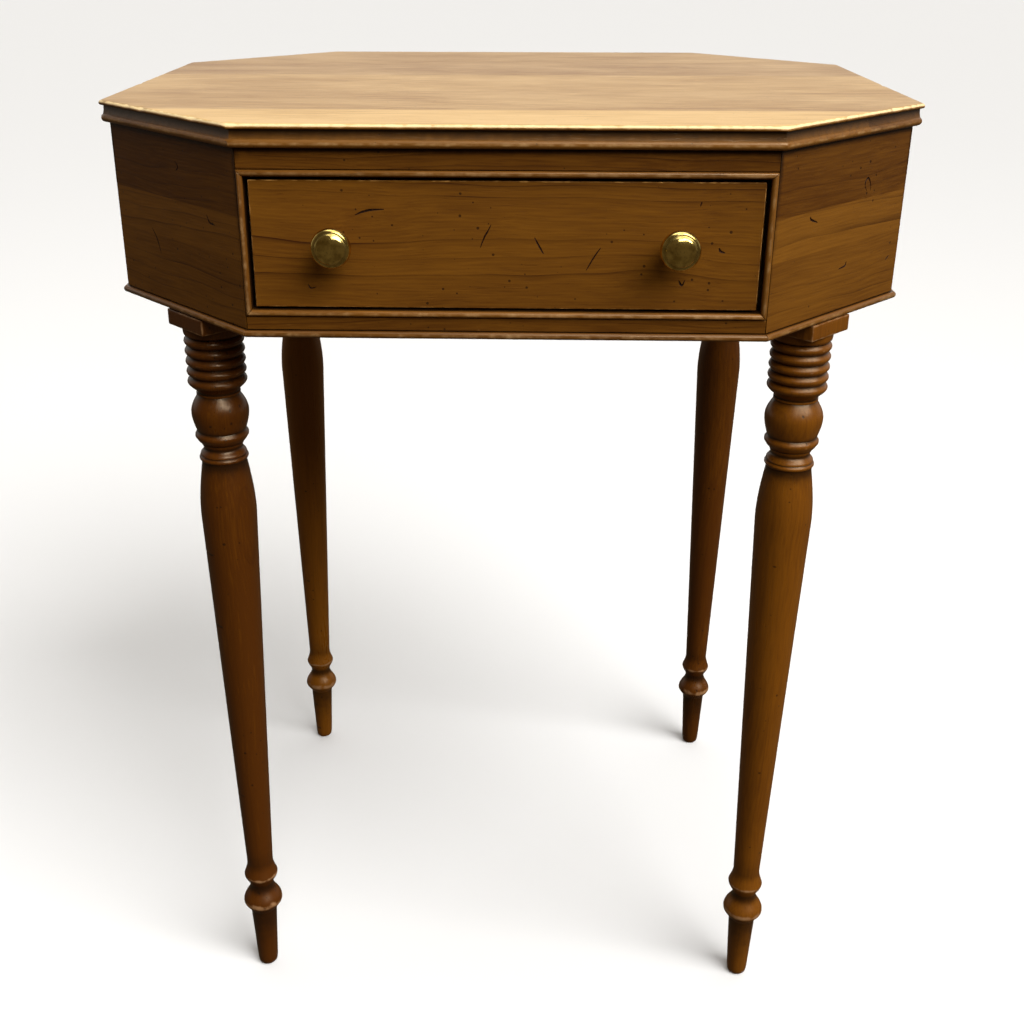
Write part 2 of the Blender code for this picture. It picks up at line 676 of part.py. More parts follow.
def build_case(frame, show_wood, inner_wood, steel):
    """The walls, the lining of the drawer's opening, the base strips and the top."""
    add_part("top_panel", top_panel(), show_wood["top"], frame)
    wall_low = wall_bottom + FIT
    wall_high = case_top - FIT
    upper = block("front_upper_rail", (-bay_half, -case_half_depth, upper_rail_bottom),
                  (bay_half, rail_back_y, wall_high))
    add_part("front_upper_rail", upper, show_wood["case"], frame)
    lower = block("front_lower_rail", (-bay_half, -case_half_depth, wall_low),
                  (bay_half, lower_rail_back_y, lower_rail_top))
    add_part("front_lower_rail", lower, show_wood["case"], frame)
    back = block("back_panel", (-bay_half, back_panel_y, wall_low), (bay_half, case_half_depth, wall_high))
    add_part("back_panel", back, show_wood["case"], frame)
    wall_end = side_half - FIT
    for name, side in (("left", -1), ("right", 1)):
        low_x, high_x = sorted((side * (case_half_width - WALL), side * case_half_width))
        wall = block("side_panel", (low_x, -wall_end, wall_low), (high_x, wall_end, wall_high))
        add_part(f"side_panel_{name}", wall, show_wood["case"], frame)
    for name, angle, sign_x, sign_y in CORNERS:
        place = (*corner_place(sign_x, sign_y), 0)
        turn = (0, 0, math.radians(angle))
        add_part(f"corner_panel_{name}", corner_wall(), show_wood["case"], frame, place, turn)
        add_part(f"corner_block_{name}", bored_corner_block(sign_x, sign_y), inner_wood, frame, place, turn)
        add_part(f"base_strip_{name}", base_strip(corner_length), show_wood["moulding"], frame, place, turn)
    straight = (
        ("front", 2 * front_half, (0, -case_half_depth, 0), 0),
        ("rear", 2 * front_half, (0, case_half_depth, 0), 180),
        ("left", 2 * side_half, (-case_half_width, 0, 0), -90),
        ("right", 2 * side_half, (case_half_width, 0, 0), 90),
    )
    for name, length, place, angle in straight:
        turn = (0, 0, math.radians(angle))
        add_part(f"base_strip_{name}", base_strip(length), show_wood["moulding"], frame, place, turn)
    opening_height = upper_rail_bottom - lower_rail_top
    opening_middle = (upper_rail_bottom + lower_rail_top) / 2
    linings = (
        ("top", 2 * front_half, (0, upper_rail_bottom), 0),
        ("bottom", 2 * front_half, (0, lower_rail_top), 180),
        ("left", opening_height, (-front_half, opening_middle), -90),
        ("right", opening_height, (front_half, opening_middle), 90),
    )
    for name, length, (x, z), angle in linings:
        turn = (0, math.radians(angle), 0)
        place = (x, -case_half_depth, z)
        add_part(f"cock_bead_{name}", cock_bead(length), show_wood["moulding"], frame, place, turn)
    for number, (x, y) in enumerate(screw_places(), 1):
        add_part(f"top_screw_{number}", top_screw(), steel, frame, (x, y, 0), smooth=True)


def build_legs(frame, leg_wood, steel):
    """Four turned legs, each held up against the case by a hanger bolt and a nut."""
    for name, angle, sign_x, sign_y in CORNERS:
        place = (*corner_place(sign_x, sign_y, leg_axis_depth, LEG_SIDE_SHIFT), 0)
        turn = (0, 0, math.radians(angle))
        add_part(f"leg_{name}", leg(), leg_wood, frame, place, turn, smooth=True)
        add_part(f"leg_bolt_{name}", leg_bolt(), steel, frame, place, turn, smooth=True)
        add_part(f"leg_nut_{name}", leg_nut(), steel, frame, place, turn)


def build_drawer_bay(frame, inner_wood):
    """Runners and guides under and beside the drawer, kickers above it, and stops behind its front."""
    for name, side in (("left", -1), ("right", 1)):
        low_x, high_x = sorted((side * (bay_half - RUNNER_WIDTH), side * bay_half))
        runner = block("runner", (low_x, lower_rail_back_y + FIT, wall_bottom + FIT),
                       (high_x, back_panel_y - FIT, runner_top))
        add_part(f"drawer_runner_{name}", runner, inner_wood, frame)
        add_part(f"drawer_guide_{name}", drawer_guide(side), inner_wood, frame)
        add_part(f"kicker_{name}", kicker(side), inner_wood, frame)
        middle = side * (drawer_half - STOP_INSET)
        stop = block("stop", (middle - STOP_WIDTH / 2, stop_front_y, lower_rail_top + FIT),
                     (middle + STOP_WIDTH / 2, stop_back_y, stop_top))
        add_part(f"drawer_stop_{name}", stop, inner_wood, frame)


def build_drawer(frame, front_wood, box_wood, brass, steel):
    """The sliding drawer, in a frame on its lower front edge."""
    slide = add_empty("drawer_frame", frame, (0, drawer_face_y, drawer_bottom))
    add_part("drawer_front", drawer_front(), front_wood, slide)
    for name, side in (("left", -1), ("right", 1)):
        add_part(f"drawer_side_{name}", drawer_side(side), box_wood, slide)
    add_part("drawer_back", drawer_back(), box_wood, slide)
    add_part("drawer_bottom", drawer_floor(), box_wood, slide)
    outward = (math.radians(90), 0, 0)
    for side, x, z in knob_places():
        name = "left" if side < 0 else "right"
        add_part(f"knob_{name}", knob(), brass, slide, (x, 0, z), outward, smooth=True)
        add_part(f"knob_screw_{name}", knob_screw(), steel, slide, (x, 0, z), outward, smooth=True)


clear_scene()
show_wood = {
    "top": finish_material("top_wood", (0.40, 0.20, 0.075), 0.32),
    "case": finish_material("case_wood", (0.17, 0.072, 0.020), 0.40),
    "moulding": finish_material("moulding_wood", (0.16, 0.066, 0.018), 0.38),
}
leg_wood = finish_material("leg_wood", (0.12, 0.048, 0.013), 0.40)
front_wood = finish_material("drawer_front_wood", (0.18, 0.078, 0.022), 0.38)
inner_wood = finish_material("inner_wood", (0.36, 0.22, 0.11), 0.70)
box_wood = finish_material("drawer_box_wood", (0.42, 0.28, 0.15), 0.65)
brass = finish_material("brass", (0.62, 0.45, 0.18), 0.28, 1.0)
steel = finish_material("steel", (0.45, 0.45, 0.46), 0.40, 1.0)
table_frame = add_empty("table_frame", None, (0, frame_shift, 0))
build_case(table_frame, show_wood, inner_wood, steel)
build_legs(table_frame, leg_wood, steel)
build_drawer_bay(table_frame, inner_wood)
build_drawer(table_frame, front_wood, box_wood, brass, steel)
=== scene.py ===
import math
import random

import bmesh
import bpy
import numpy as np
from mathutils import Matrix, Vector


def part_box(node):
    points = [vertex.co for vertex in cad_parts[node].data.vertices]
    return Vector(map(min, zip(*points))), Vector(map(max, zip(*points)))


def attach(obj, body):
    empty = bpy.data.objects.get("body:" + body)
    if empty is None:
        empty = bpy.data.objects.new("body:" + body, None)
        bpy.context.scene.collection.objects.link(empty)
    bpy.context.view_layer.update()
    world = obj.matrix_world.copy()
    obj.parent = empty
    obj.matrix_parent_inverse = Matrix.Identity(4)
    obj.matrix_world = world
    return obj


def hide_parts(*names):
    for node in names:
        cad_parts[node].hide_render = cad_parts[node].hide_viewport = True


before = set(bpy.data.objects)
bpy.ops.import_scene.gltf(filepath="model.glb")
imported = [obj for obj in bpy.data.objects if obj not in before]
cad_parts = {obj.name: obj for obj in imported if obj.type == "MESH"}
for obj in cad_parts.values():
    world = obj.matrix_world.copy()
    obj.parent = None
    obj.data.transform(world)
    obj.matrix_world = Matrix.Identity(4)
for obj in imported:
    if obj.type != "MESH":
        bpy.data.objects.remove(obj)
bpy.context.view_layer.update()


# Case walls: two front rails, a back, two sides and four corner walls of solid wood, glued edge to
# edge round the drawer's bay. The grain runs level, the corner walls are glued up from three boards,
# and the arrises are eased by hand before the brown stain, the glaze and its spatter go on.
EASED_EDGE = 0.0004
WEAR_REACH = 0.0020
MERGE = 1e-5
FLAT_TURN = math.radians(1)
SOFT_TURN = math.radians(30)
UP = (0.0, 0.0, 1.0)
RIGHT = (1.0, 0.0, 0.0)
BACK = (0.0, 1.0, 0.0)
FRONT = (0.0, -1.0, 0.0)
WALL_REACH = 0.0040
# How many grains a metre holds along, across and through a board, and how far they bend or darken it
DRIFT = ((2.6, 6.0, 6.0), 0.030)
RIPPLE = ((15.0, 30.0, 30.0), 0.0064)
FIBRE = ((30.0, 820.0, 820.0), 1.05)
STREAK = ((6.0, 130.0, 130.0), 0.18)
PORE = ((70.0, 1900.0, 1900.0), 0.20)
PATCH = ((9.0, 26.0, 26.0), 0.80)
SUMMER_SHADE, TONE_SHADE, SHADE_START = 0.05, 0.42, -0.59
RING_WANDER, WANDER_SHARE = 190.0, 0.45
LINE_SHARPNESS, SUMMER_SHARPNESS = 17.0, 1.8
RUB_GRAIN = (170.0, 170.0, 170.0)
CLUSTER_GRAIN = (20.0, 20.0, 20.0)
DUST_GRAIN = (900.0, 900.0, 900.0)
SPECK_CELLS, SPECK_SIZE, SPECK_LUCK = 105.0, 0.135, 0.30
GRAIN_STRENGTH, GRAIN_DEPTH = 0.35, 0.00022
FLANK_STEP, PORE_STEP, LINE_STEP = (0.12, 0.42), (0.60, 0.74), (0.34, 0.66)
GLAZE_AND_SHADE_STEP, CLUSTER_STEP, SPECK_STEP = (0.1, 0.95), (0.36, 0.62), (-0.012, 0.014)
LINE_COVER, LINE_LEAST, GLAZE_AND_SHADE_COVER, SPECK_COVER = 0.60, 0.26, 0.85, 0.76
PITH_ASIDE, PITH_DEPTH, BOARD_START = (0.030, 0.065), (0.024, 0.046), (0, 40)
TONE_RANGE = (-0.5, 0.5)
WIDE_FACE = 2.5
WALL_RING = 0.0092
WALL_SHINE = 0.36
CORNER_JOINTS = (-0.0114, 0.0138)
CORNER_TONES = (0.0, -0.45, 1.0)
# The front rails are painted darker, standing for shade.
RAIL_SHADE_TONES = (0.8,)
CORNER_SEED = 20
STROKE_SIDES = 6
STROKE_STEPS = 5
STROKE_TIP = 0.25
STROKE_SINK = 0.6
FRONT_RIGHT_MARKS = (
    (0.0011, ((0.0238, 0.0183), (0.0214, 0.0215), (0.0216, 0.0244), (0.0240, 0.0260),
              (0.0264, 0.0238), (0.0278, 0.0209), (0.0282, 0.0178))),
    (0.0014, ((-0.0348, 0.0111), (-0.0340, 0.0092), (-0.0271, 0.0066))),
    (0.0012, ((0.0098, -0.0226), (0.0085, -0.0252), (0.0017, -0.0262))),
    (0.0009, ((0.0601, -0.0272), (0.0565, -0.0293))),
)
FRONT_LEFT_MARKS = (
    (0.0010, ((0.0055, 0.0373), (0.0082, 0.0341), (0.0055, 0.0314))),
    (0.0010, ((-0.0300, -0.0080), (-0.0250, -0.0140), (-0.0215, -0.0230))),
    (0.0012, ((0.0360, 0.0100), (0.0385, 0.0060), (0.0440, 0.0050))),
)
REAR_RIGHT_MARKS = (
    (0.0011, ((-0.0420, 0.0210), (-0.0370, 0.0250), (-0.0290, 0.0255))),
    (0.0010, ((0.0210, -0.0120), (0.0240, -0.0220))),
)
REAR_LEFT_MARKS = (
    (0.0012, ((0.0300, 0.0180), (0.0260, 0.0120), (0.0265, 0.0060))),
    (0.0009, ((-0.0180, -0.0210), (-0.0100, -0.0180))),
)


def paint(red, green, blue):
    """A display colour, each part from 0 to 255, as the linear colour that a shader takes."""
    parts = []
    for part in (red, green, blue):
        share = part / 255
        parts.append(share / 12.92 if share <= 0.04045 else ((share + 0.055) / 1.055) ** 2.4)
    return (*parts, 1.0)


def wire(tree, kind, inputs=None, **settings):
    """Adds a node with its settings, and fills its inputs with values or with other nodes' outputs."""
    node = tree.nodes.new(kind)
    for name, value in settings.items():
        setattr(node, name, value)
    for name, value in (inputs or {}).items():
        if isinstance(value, bpy.types.NodeSocket):
            tree.links.new(value, node.inputs[name])
        else:
            node.inputs[name].default_value = value
    return node


def calc(tree, operation, *values, clamp=False):
    """One step of arithmetic between shader values."""
    inputs = dict(enumerate(values))
    return wire(tree, "ShaderNodeMath", inputs, operation=operation, use_clamp=clamp).outputs[0]


def total(tree, start, *parts, clamp=False):
    """A start plus some shader values, each times its weight, kept between 0 and 1 if asked."""
    for value, weight in parts:
        start = calc(tree, "MULTIPLY_ADD", value, weight, start)
    return calc(tree, "ADD", start, 0.0, clamp=True) if clamp else start


def mesh_value(tree, name, output="Fac"):
    """What the mesh says under a name."""
    return wire(tree, "ShaderNodeAttribute", attribute_name=name).outputs[output]


def vector_calc(tree, operation, *values):
    """One step of arithmetic between shader vectors."""
    node = wire(tree, "ShaderNodeVectorMath", dict(enumerate(values)), operation=operation)
    return node.outputs["Value" if operation == "LENGTH" else "Vector"]


def cloudy(tree, place, stretch, detail=2.0, output="Fac"):
    """Noise whose grains are as many to the metre as stretch says, along each axis."""
    scaled = vector_calc(tree, "MULTIPLY", place, stretch)
    inputs = {"Vector": scaled, "Scale": 1.0, "Detail": detail}
    return wire(tree, "ShaderNodeTexNoise", inputs).outputs[output]


def step(tree, value, low, high):
    """A soft step from 0 at low to 1 at high."""
    inputs = {"Value": value, "From Min": low, "From Max": high}
    return wire(tree, "ShaderNodeMapRange", inputs, interpolation_type="SMOOTHSTEP").outputs["Result"]


def tinted(tree, share, under, over):
    """A colour laid over another by a share."""
    return wire(tree, "ShaderNodeMix", {0: share, 6: under, 7: over}, data_type="RGBA").outputs[2]


def new_finish(name):
    """A new material, with its node tree and its shader."""
    material = bpy.data.materials.new(name)
    material.use_nodes = True
    return material, material.node_tree, material.node_tree.nodes["Principled BSDF"]


def lay_on(tree, shader, colour, rough, height=None, strength=0.0, depth=0.0):
    """Gives a shader its colour, its roughness, and bumps from a height where it has one."""
    tree.links.new(colour, shader.inputs["Base Color"])
    tree.links.new(rough, shader.inputs["Roughness"])
    if height is not None:
        bump = wire(tree, "ShaderNodeBump", {"Height": height, "Strength": strength, "Distance": depth})
        tree.links.new(bump.outputs["Normal"], shader.inputs["Normal"])


def wood_finish(name, light, dark, line, worn, ring, shine, wear_start=0.62, wear_fade=0.28, specks=1.0,
                gloss=0.25, figure=1.0):
    """Stained wood: growth rings, fibres, pores, spatter, dark glaze with painted shade in hollows, and pale
    rubbed edges that also stand for painted highlights on crests. The mesh gives each corner's place in its
    board, each board's tone, where it is rubbed and highlit, and where it is hollow."""
    material, tree, shader = new_finish(name)
    grain = mesh_value(tree, "grain", "Vector")
    place = wire(tree, "ShaderNodeTexCoord").outputs["Object"]

    # Growth rings round a pith behind the board, wandering along it and unevenly spaced. Their lines
    # fade where the face lies flat to the rings, which would fill with one dark patch.
    bent = grain
    for stretch, sway in (DRIFT, RIPPLE):
        noise = cloudy(tree, grain, stretch, 1.0, "Color")
        bent = vector_calc(tree, "MULTIPLY_ADD", noise, (0.0, sway, sway), bent)
    mean_sway = (DRIFT[1] + RIPPLE[1]) / 2
    pith = vector_calc(tree, "SUBTRACT", bent, (0.0, mean_sway, mean_sway))
    radius = vector_calc(tree, "LENGTH", vector_calc(tree, "MULTIPLY", pith, (0.0, 1.0, 1.0)))
    wander = calc(tree, "SINE", calc(tree, "MULTIPLY", radius, RING_WANDER))
    ring_count = total(tree, calc(tree, "DIVIDE", radius, ring), (wander, WANDER_SHARE))
    ring_share = calc(tree, "FRACT", ring_count)
    aside = calc(tree, "ABSOLUTE", wire(tree, "ShaderNodeSeparateXYZ", {"Vector": pith}).outputs["Y"])
    flank = step(tree, calc(tree, "DIVIDE", aside, radius), *FLANK_STEP)
    late_wood = calc(tree, "MULTIPLY", calc(tree, "POWER", ring_share, LINE_SHARPNESS), flank)
    summer_wood = calc(tree, "MULTIPLY", calc(tree, "POWER", ring_share, SUMMER_SHARPNESS), flank)

    # Fibres, pores and slow patches in the stain
    fibre = cloudy(tree, bent, FIBRE[0], 3.0)
    streak = cloudy(tree, bent, STREAK[0], 2.0)
    pore = step(tree, cloudy(tree, bent, PORE[0], 1.0), *PORE_STEP)
    patch = cloudy(tree, grain, PATCH[0], 3.0)
    tone = mesh_value(tree, "tone")
    shade = total(tree, SHADE_START, (fibre, FIBRE[1]), (streak, STREAK[1]), (patch, PATCH[1]),
                  (summer_wood, SUMMER_SHADE * figure), (tone, TONE_SHADE), (pore, PORE[1]), clamp=True)
    colour = tinted(tree, shade, light, dark)
    line_patch = total(tree, LINE_LEAST * figure, (step(tree, patch, *LINE_STEP), LINE_COVER * figure))
    colour = tinted(tree, calc(tree, "MULTIPLY", late_wood, line_patch), colour, line)

    # Glaze with painted shade in hollows, and glaze flicked on as specks
    rub = cloudy(tree, place, RUB_GRAIN, 3.0)
    hollow = total(tree, -0.20, (mesh_value(tree, "hollow"), 1.0), (rub, 0.4))
    glaze_and_shade_mask = calc(tree, "MULTIPLY", step(tree, hollow, *GLAZE_AND_SHADE_STEP), GLAZE_AND_SHADE_COVER)
    colour = tinted(tree, glaze_and_shade_mask, colour, GLAZE_AND_SHADE)
    parts = wire(tree, "ShaderNodeSeparateXYZ", {"Vector": grain}).outputs
    over = calc(tree, "ADD", parts["Y"], parts["Z"])
    spread = wire(tree, "ShaderNodeCombineXYZ", {"X": parts["X"], "Y": over}).outputs["Vector"]
    inputs = {"Vector": spread, "Scale": SPECK_CELLS}
    cells = wire(tree, "ShaderNodeTexVoronoi", inputs, voronoi_dimensions="2D").outputs
    luck = wire(tree, "ShaderNodeSeparateColor", {"Color": cells["Color"]}).outputs["Red"]
    cluster = step(tree, cloudy(tree, place, CLUSTER_GRAIN), *CLUSTER_STEP)
    size = calc(tree, "MULTIPLY", calc(tree, "SUBTRACT", luck, SPECK_LUCK), SPECK_SIZE * specks)
    size = calc(tree, "MULTIPLY", size, cluster)
    speck = step(tree, calc(tree, "SUBTRACT", size, cells["Distance"]), *SPECK_STEP)
    colour = tinted(tree, calc(tree, "MULTIPLY", speck, SPECK_COVER), colour, GLAZE_AND_SHADE)

    # Finish rubbed through on the edges, and painted highlights on the crests of beads and rings
    wear_and_highlight = total(tree, -0.45, (mesh_value(tree, "wear_and_highlight"), 1.0), (rub, 0.9))
    rubbed_and_highlit = step(tree, wear_and_highlight, wear_start, wear_start + wear_fade)
    colour = tinted(tree, rubbed_and_highlit, colour, worn)
    rough = total(tree, shine - 0.08, (patch, 0.16), (fibre, 0.10), (rubbed_and_highlit, 0.14), clamp=True)
    height = total(tree, 0.0, (late_wood, 0.25), (fibre, 0.45), (pore, -0.5), (speck, -0.9), (rubbed_and_highlit, -0.5))
    lay_on(tree, shader, colour, rough, height, GRAIN_STRENGTH, GRAIN_DEPTH)
    shader.inputs["Specular IOR Level"].default_value = gloss
    shader.inputs["Specular Tint"].default_value = AMBER
    return material


def glaze_finish():
    """Dried dark glaze, as it lies in a cut or dent: nearly black brown, with dusty patches."""
    material, tree, shader = new_finish("dark_glaze")
    place = wire(tree, "ShaderNodeTexCoord").outputs["Object"]
    dust = cloudy(tree, place, DUST_GRAIN, 2.0)
    colour = tinted(tree, step(tree, dust, 0.45, 0.8), GLAZE_AND_SHADE, DUSTY_GLAZE)
    lay_on(tree, shader, colour, total(tree, 0.35, (dust, 0.4)))
    shader.inputs["Specular IOR Level"].default_value = 0.1
    return material


def face_width(face):
    """Roughly how wide a long face is."""
    return face.calc_area() / max(edge.calc_length() for edge in face.edges)


def as_mesh(name, shape):
    """A worked shape as a mesh, after which the shape is let go."""
    mesh = bpy.data.meshes.new(name)
    shape.to_mesh(mesh)
    shape.free()
    return mesh


def shown(name, data):
    """A new object in the scene."""
    item = bpy.data.objects.new(name, data)
    bpy.context.scene.collection.objects.link(item)
    return item


def taken(item, *helpers):
    """The mesh of an object with its modifiers done, after which it and its helpers are removed."""
    mesh = bpy.data.meshes.new_from_object(item.evaluated_get(bpy.context.evaluated_depsgraph_get()))
    for spent in (item, *helpers):
        bpy.data.objects.remove(spent)
    return mesh


def eased_board(node, ease=EASED_EDGE, reach=WEAR_REACH):
    """A merged copy of a CAD board with its outer edges rounded, and a wear value that fades from them."""
    shape = bmesh.new()
    shape.from_mesh(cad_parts[node].data)
    wear_and_highlight = shape.verts.layers.float.new("wear_and_highlight")
    bmesh.ops.remove_doubles(shape, verts=shape.verts, dist=MERGE)
    bmesh.ops.dissolve_limit(shape, angle_limit=FLAT_TURN, verts=shape.verts, edges=shape.edges)
    outer = [edge for edge in shape.edges if edge.is_convex and edge.calc_face_angle(0) > SOFT_TURN]
    made = bmesh.ops.bevel(shape, geom=outer, offset=ease, segments=2, profile=0.5, affect="EDGES",
                           clamp_overlap=True)
    rounded = set(made["faces"])
    flats = [face for face in shape.faces if face not in rounded and face_width(face) > WIDE_FACE * reach]
    bmesh.ops.inset_region(shape, faces=flats, thickness=reach, use_boundary=True, use_even_offset=True)
    for vertex in shape.verts:
        vertex[wear_and_highlight] = float(any(face in rounded for face in vertex.link_faces))
    for face in shape.faces:
        beside = [edge for edge in face.edges if not any(other in rounded for other in edge.link_faces)]
        curved = any(FLAT_TURN < edge.calc_face_angle(0) < SOFT_TURN for edge in beside)
        face.smooth = face in rounded or curved
    mesh = as_mesh(node, shape)
    if "custom_normal" in mesh.attributes:
        mesh.attributes.remove(mesh.attributes["custom_normal"])
    mesh.materials.clear()
    return mesh


def numbers(collection, name, width, kind=float):
    """A property of every vertex, face or corner, as an array."""
    values = np.empty(len(collection) * width, kind)
    collection.foreach_get(name, values)
    return values.reshape(-1, width) if width > 1 else values


def lay_grain(mesh, along, depth, seed, board_of=None, tones=None):
    """Writes each corner's place in its own board (along, across, depth), and each face's tone.
    board_of sorts face centres into boards; without it the mesh is one board."""
    across = np.cross(depth, along)
    axes = np.array([along, across, depth], float)
    points = numbers(mesh.vertices, "co", 3)
    centres = numbers(mesh.polygons, "center", 3)
    corners = numbers(mesh.loops, "vertex_index", 1, np.int32)
    face_of = np.repeat(np.arange(len(mesh.polygons)), numbers(mesh.polygons, "loop_total", 1, np.int32))
    board = np.zeros(len(mesh.polygons), int) if board_of is None else board_of(centres)
    chance = random.Random(seed)
    grain = np.empty((len(corners), 3))
    tone = np.empty(len(mesh.polygons))
    for number in range(board.max() + 1):
        mine = board[face_of] == number
        local = points[corners[mine]] @ axes.T
        middle = (local.min(0) + local.max(0)) / 2
        aside = chance.choice((-1, 1)) * chance.uniform(*PITH_ASIDE)
        pith = (chance.uniform(*BOARD_START), aside, chance.uniform(*PITH_DEPTH))
        grain[mine] = local - middle + np.array(pith)
        tone[board == number] = tones[number] if tones else chance.uniform(*TONE_RANGE)
    mesh.attributes.new("grain", "FLOAT_VECTOR", "CORNER").data.foreach_set("vector", grain.ravel())
    mesh.attributes.new("tone", "FLOAT", "FACE").data.foreach_set("value", tone)


def split_boards(mesh, joints, across, origin):
    """Cuts a mesh's faces along its glue lines, and gives the sorter of face centres for lay_grain."""
    shape = bmesh.new()
    shape.from_mesh(mesh)
    for joint in joints:
        everything = shape.verts[:] + shape.edges[:] + shape.faces[:]
        point = Vector(origin) + Vector(across) * joint
        bmesh.ops.bisect_plane(shape, geom=everything, plane_co=point, plane_no=across)
    shape.to_mesh(mesh)
    shape.free()
    start = float(np.dot(origin, across))
    return lambda centres: np.searchsorted(joints, centres @ np.array(across) - start)


def smooth_path(points):
    """Points along a curve that passes through the given ones, in equal steps between them."""
    ends = [2 * points[0] - points[1], *points, 2 * points[-1] - points[-2]]
    path = []
    for a, b, c, d in zip(ends, ends[1:], ends[2:], ends[3:]):
        for i in range(STROKE_STEPS):
            t = i / STROKE_STEPS
            bend = (2 * a - 5 * b + 4 * c - d) * t * t + (3 * b - a - 3 * c + d) * t ** 3
            path.append((2 * b + (c - a) * t + bend) / 2)
    return path + [points[-1]]


def scored(mesh, marks, middle, along, outward):
    """Cuts tapered strokes into a board's flat face, and leaves dark glaze in them."""
    along, outward, middle = Vector(along), Vector(outward), Vector(middle)
    up = Vector(UP)
    shape = bmesh.new()
    for width, places in marks:
        path = smooth_path([middle + along * x + up * z for x, z in places])
        rings = []
        for i, point in enumerate(path):
            ahead = path[min(i + 1, len(path) - 1)] - path[max(i - 1, 0)]
            aside = ahead.cross(outward).normalized()
            swell = math.sin(math.pi * (i + 0.6) / (len(path) + 0.4))
            half = width / 2 * (STROKE_TIP + (1 - STROKE_TIP) * swell)
            ring = []
            for k in range(STROKE_SIDES):
                turn = math.tau * k / STROKE_SIDES
                rim = point + aside * half * math.cos(turn)
                ring.append(shape.verts.new(rim + outward * half * STROKE_SINK * math.sin(turn)))
            rings.append(ring)
        for near, far in zip(rings, rings[1:]):
            for k in range(STROKE_SIDES):
                after = (k + 1) % STROKE_SIDES
                shape.faces.new((near[k], near[after], far[after], far[k]))
        shape.faces.new(rings[0][::-1])
        shape.faces.new(rings[-1])
    bmesh.ops.recalc_face_normals(shape, faces=shape.faces)
    cutter = shown("strokes", as_mesh("strokes", shape))
    cutter.data.materials.append(dark_glaze)
    board = shown("scored_board", mesh)
    cut = board.modifiers.new("score", "BOOLEAN")
    cut.object = cutter
    cut.operation = "DIFFERENCE"
    cut.solver = "MANIFOLD"
    cut.material_mode = "TRANSFER"
    return taken(board, cutter)


def glaze_and_shade_under_top(mesh, reach):
    """Marks a wall's upper strip as hollow, for glaze and painted shade under the top's overhang."""
    height = numbers(mesh.vertices, "co", 3)[:, 2]
    hollow = np.clip(1 - (height.max() - height) / reach, 0, 1)
    mesh.attributes.new("hollow", "FLOAT", "POINT").data.foreach_set("value", hollow)


def dress(name, mesh, material, body, slot, *nodes):
    """Shows a finished mesh as a piece that rides on a body in place of its CAD nodes."""
    if not mesh.materials:
        mesh.materials.append(material)
    piece = shown(name, mesh)
    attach(piece, body)
    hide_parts(*nodes)


# The dark glaze colour, also laid in hollows as painted shade.
GLAZE_AND_SHADE, DUSTY_GLAZE = paint(26, 12, 5), paint(70, 36, 18)
AMBER = (1.0, 0.80, 0.55, 1.0)
WORN_WOOD = paint(196, 142, 74)
dark_glaze = glaze_finish()
case_wood = wood_finish("case_wood", paint(124, 79, 23), paint(83, 47, 10), paint(50, 22, 5), WORN_WOOD,
                        WALL_RING, WALL_SHINE, wear_start=1.2, gloss=0.16, figure=1.2)
walls = {
    "front_upper_rail": RIGHT,
    "front_lower_rail": RIGHT,
    "back_panel": RIGHT,
    "side_panel_left": BACK,
    "side_panel_right": BACK,
}
for number, (node, along) in enumerate(walls.items()):
    mesh = eased_board(node, reach=WALL_REACH)
    mesh.materials.append(case_wood)
    # Every wall but the lower rail is darkened along its top: glaze and painted shade under the top.
    if node != "front_lower_rail":
        glaze_and_shade_under_top(mesh, WALL_REACH)
    tones = RAIL_SHADE_TONES if "rail" in node else None
    lay_grain(mesh, along, np.cross(along, UP), number, tones=tones)
    dress("stained_" + node, mesh, case_wood, "table", "case_wood", node)

half_turn = math.sqrt(0.5)
corners = {
    "front_left": (-1, -1, FRONT_LEFT_MARKS),
    "front_right": (1, -1, FRONT_RIGHT_MARKS),
    "rear_left": (-1, 1, REAR_LEFT_MARKS),
    "rear_right": (1, 1, REAR_RIGHT_MARKS),
}
for number, (corner, (side, end, marks)) in enumerate(corners.items()):
    node = "corner_panel_" + corner
    low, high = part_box(node)
    outward = Vector((side * half_turn, end * half_turn, 0.0))
    along = Vector(UP).cross(outward)
    points = numbers(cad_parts[node].data.vertices, "co", 3)
    face = float((points @ np.array(outward)).max())
    middle = (low + high) / 2
    middle += outward * (face - middle.dot(outward))
    mesh = eased_board(node, reach=WALL_REACH)
    mesh.materials.append(case_wood)
    mesh = scored(mesh, marks, middle, along, outward)
    # Darkened along its top: glaze and painted shade under the top.
    glaze_and_shade_under_top(mesh, WALL_REACH)
    sorter = split_boards(mesh, CORNER_JOINTS, UP, middle)
    lay_grain(mesh, along, outward, CORNER_SEED + number, sorter, CORNER_TONES)
    dress("stained_" + node, mesh, case_wood, "table", "case_wood", node)


